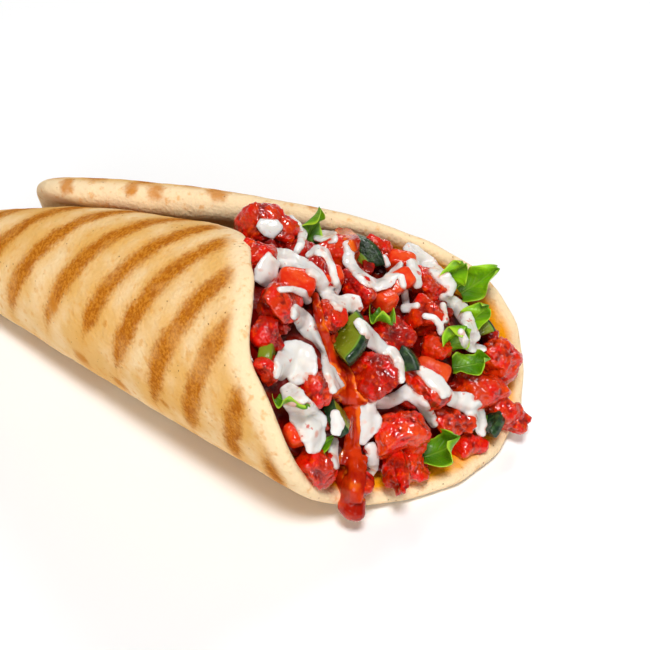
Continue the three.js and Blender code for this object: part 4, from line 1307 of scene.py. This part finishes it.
# Drop: inside the rim, out from the bread, fall, radius.
DRIP = [
    (8, -5.5, 0, 3.4), (3, -4.5, 0, 3.8), (-1.5, -2, 0, 4.0), (-2.5, 1, 0.3, 4.6), (-2.5, 1.5, 0.8, 4.0),
]
DRIP_STEPS = 8
DRIP_LOBES = (-2.8, -1.4, 0.0, 1.4, 2.8)
DRIP_SHARE = 0.78
DRIP_LOBE_LOSS = 0.2
CHILLI_DEEP_RED = (158, 20, 1)
CHILLI_RED = (202, 52, 6)
CHILLI_FILM = (232, 104, 22)
CHILLI_PATCHES = (5.0, 3.0, 0.35, 0.7)
CHILLI_FILM_REACH = (0.9, 0.25)
CHILLI_GRAIN = (1.5, 3.0)
CHILLI_RELIEF = 0.12


def lip_drops():
    """The drop's run from the pool over the lip, in lobes side by side."""
    stops = np.array(DRIP, float)
    shares = np.linspace(0, len(DRIP) - 1, DRIP_STEPS * (len(DRIP) - 1) + 1)
    inside, out, fall, radius = (np.interp(shares, np.arange(len(DRIP)), stops[:, i]) for i in range(4))
    reach = outline_radius(np.array([DRIP_DIRECTION])) - inside
    places, outward = roll(reach * math.cos(DRIP_DIRECTION), reach * math.sin(DRIP_DIRECTION))
    places = places + outward * out[:, None]
    places[:, 2] -= fall
    along_lip = np.cross(outward[-1], [0.0, 0.0, 1.0])
    drops = []
    for lobe in DRIP_LOBES:
        sizes = DRIP_SHARE * radius - DRIP_LOBE_LOSS * abs(lobe)
        for spot, away, size in zip(places + lobe * along_lip, outward, sizes):
            drops.append((Vector(spot), Vector(away), size, DRIP_SHARE * size))
    return drops


def hot_sauce_finish():
    finish = new_finish("hot_sauce", Roughness=0.06, Specular_IOR_Level=0.3, Subsurface_Weight=0.06,
                        Subsurface_Radius=(0.004, 0.001, 0.0004))
    red = blend(finish, patches(finish, *CHILLI_PATCHES), CHILLI_DEEP_RED, CHILLI_RED)
    red = blend(finish, rise(finish, value_at(finish, "film"), *CHILLI_FILM_REACH), red, CHILLI_FILM)
    set_on_shader(finish, "Base Color", red)
    add_relief(finish, mottle(finish, *CHILLI_GRAIN), CHILLI_RELIEF)
    return finish


dressed_heap = surface_of([filling_core, chicken_pieces, chicken_scraps, *salad, pita, yoghurt])
hot_drops = ribbon_drops(dressed_heap, HOT_SAUCE) + lip_drops()
hot_sauce = poured("hot_sauce", hot_drops, dressed_heap, hot_sauce_finish())
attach(hot_sauce, "root")

# Floor and light
# A plain white table top under three square soft lights: one high above the front, a broader one in front
# and a weak one behind. They stand well away, so that the table top is evenly white.
FLOOR_SIDE = 6.0
FLOOR_WHITE = (252, 252, 252)
FLOOR_SHADE = (250, 250, 250)
FLOOR_MOTTLE = (300.0, 3.0)
# Lights: name, place, side and power, in metres and watts.
LIGHTS = [
    ("key_light", (0.75, -1.2, 3.0), 0.8, 88.0),
    ("fill_light", (0.9, -3.0, 1.5), 1.5, 30.0),
    ("back_light", (0.0, 2.4, 1.8), 0.75, 23.0),
]
LIGHT_AIM = (0.0, 0.0, 0.03)
ROOM_WHITE = (1, 1, 1, 1)
ROOM_LIGHT = 0.15


def make_floor():
    finish = new_finish("white_table", Roughness=0.6, Specular_IOR_Level=0.2)
    share = mottle(finish, *FLOOR_MOTTLE)
    set_on_shader(finish, "Base Color", blend(finish, share, FLOOR_WHITE, FLOOR_SHADE))
    half = FLOOR_SIDE / 2 / MM
    corners = [(-half, -half, 0), (half, -half, 0), (half, half, 0), (-half, half, 0)]
    return add_piece("floor", corners, [(0, 1, 2, 3)], finish)


def add_light(name, place, side, power):
    """A square soft light that shines on the gyro."""
    light_data = bpy.data.lights.new(name, "AREA")
    light_data.size = side
    light_data.energy = power
    light = bpy.data.objects.new(name, light_data)
    light.location = place
    light.rotation_euler = (Vector(LIGHT_AIM) - Vector(place)).to_track_quat("-Z", "Y").to_euler()
    bpy.context.scene.collection.objects.link(light)


floor = make_floor()
for light_row in LIGHTS:
    add_light(*light_row)
room = bpy.data.worlds.new("soft_room")
room.use_nodes = True
room_light = room.node_tree.nodes["Background"]
room_light.inputs["Color"].default_value = ROOM_WHITE
room_light.inputs["Strength"].default_value = ROOM_LIGHT
bpy.context.scene.world = room
bpy.context.scene.view_settings.view_transform = "Standard"
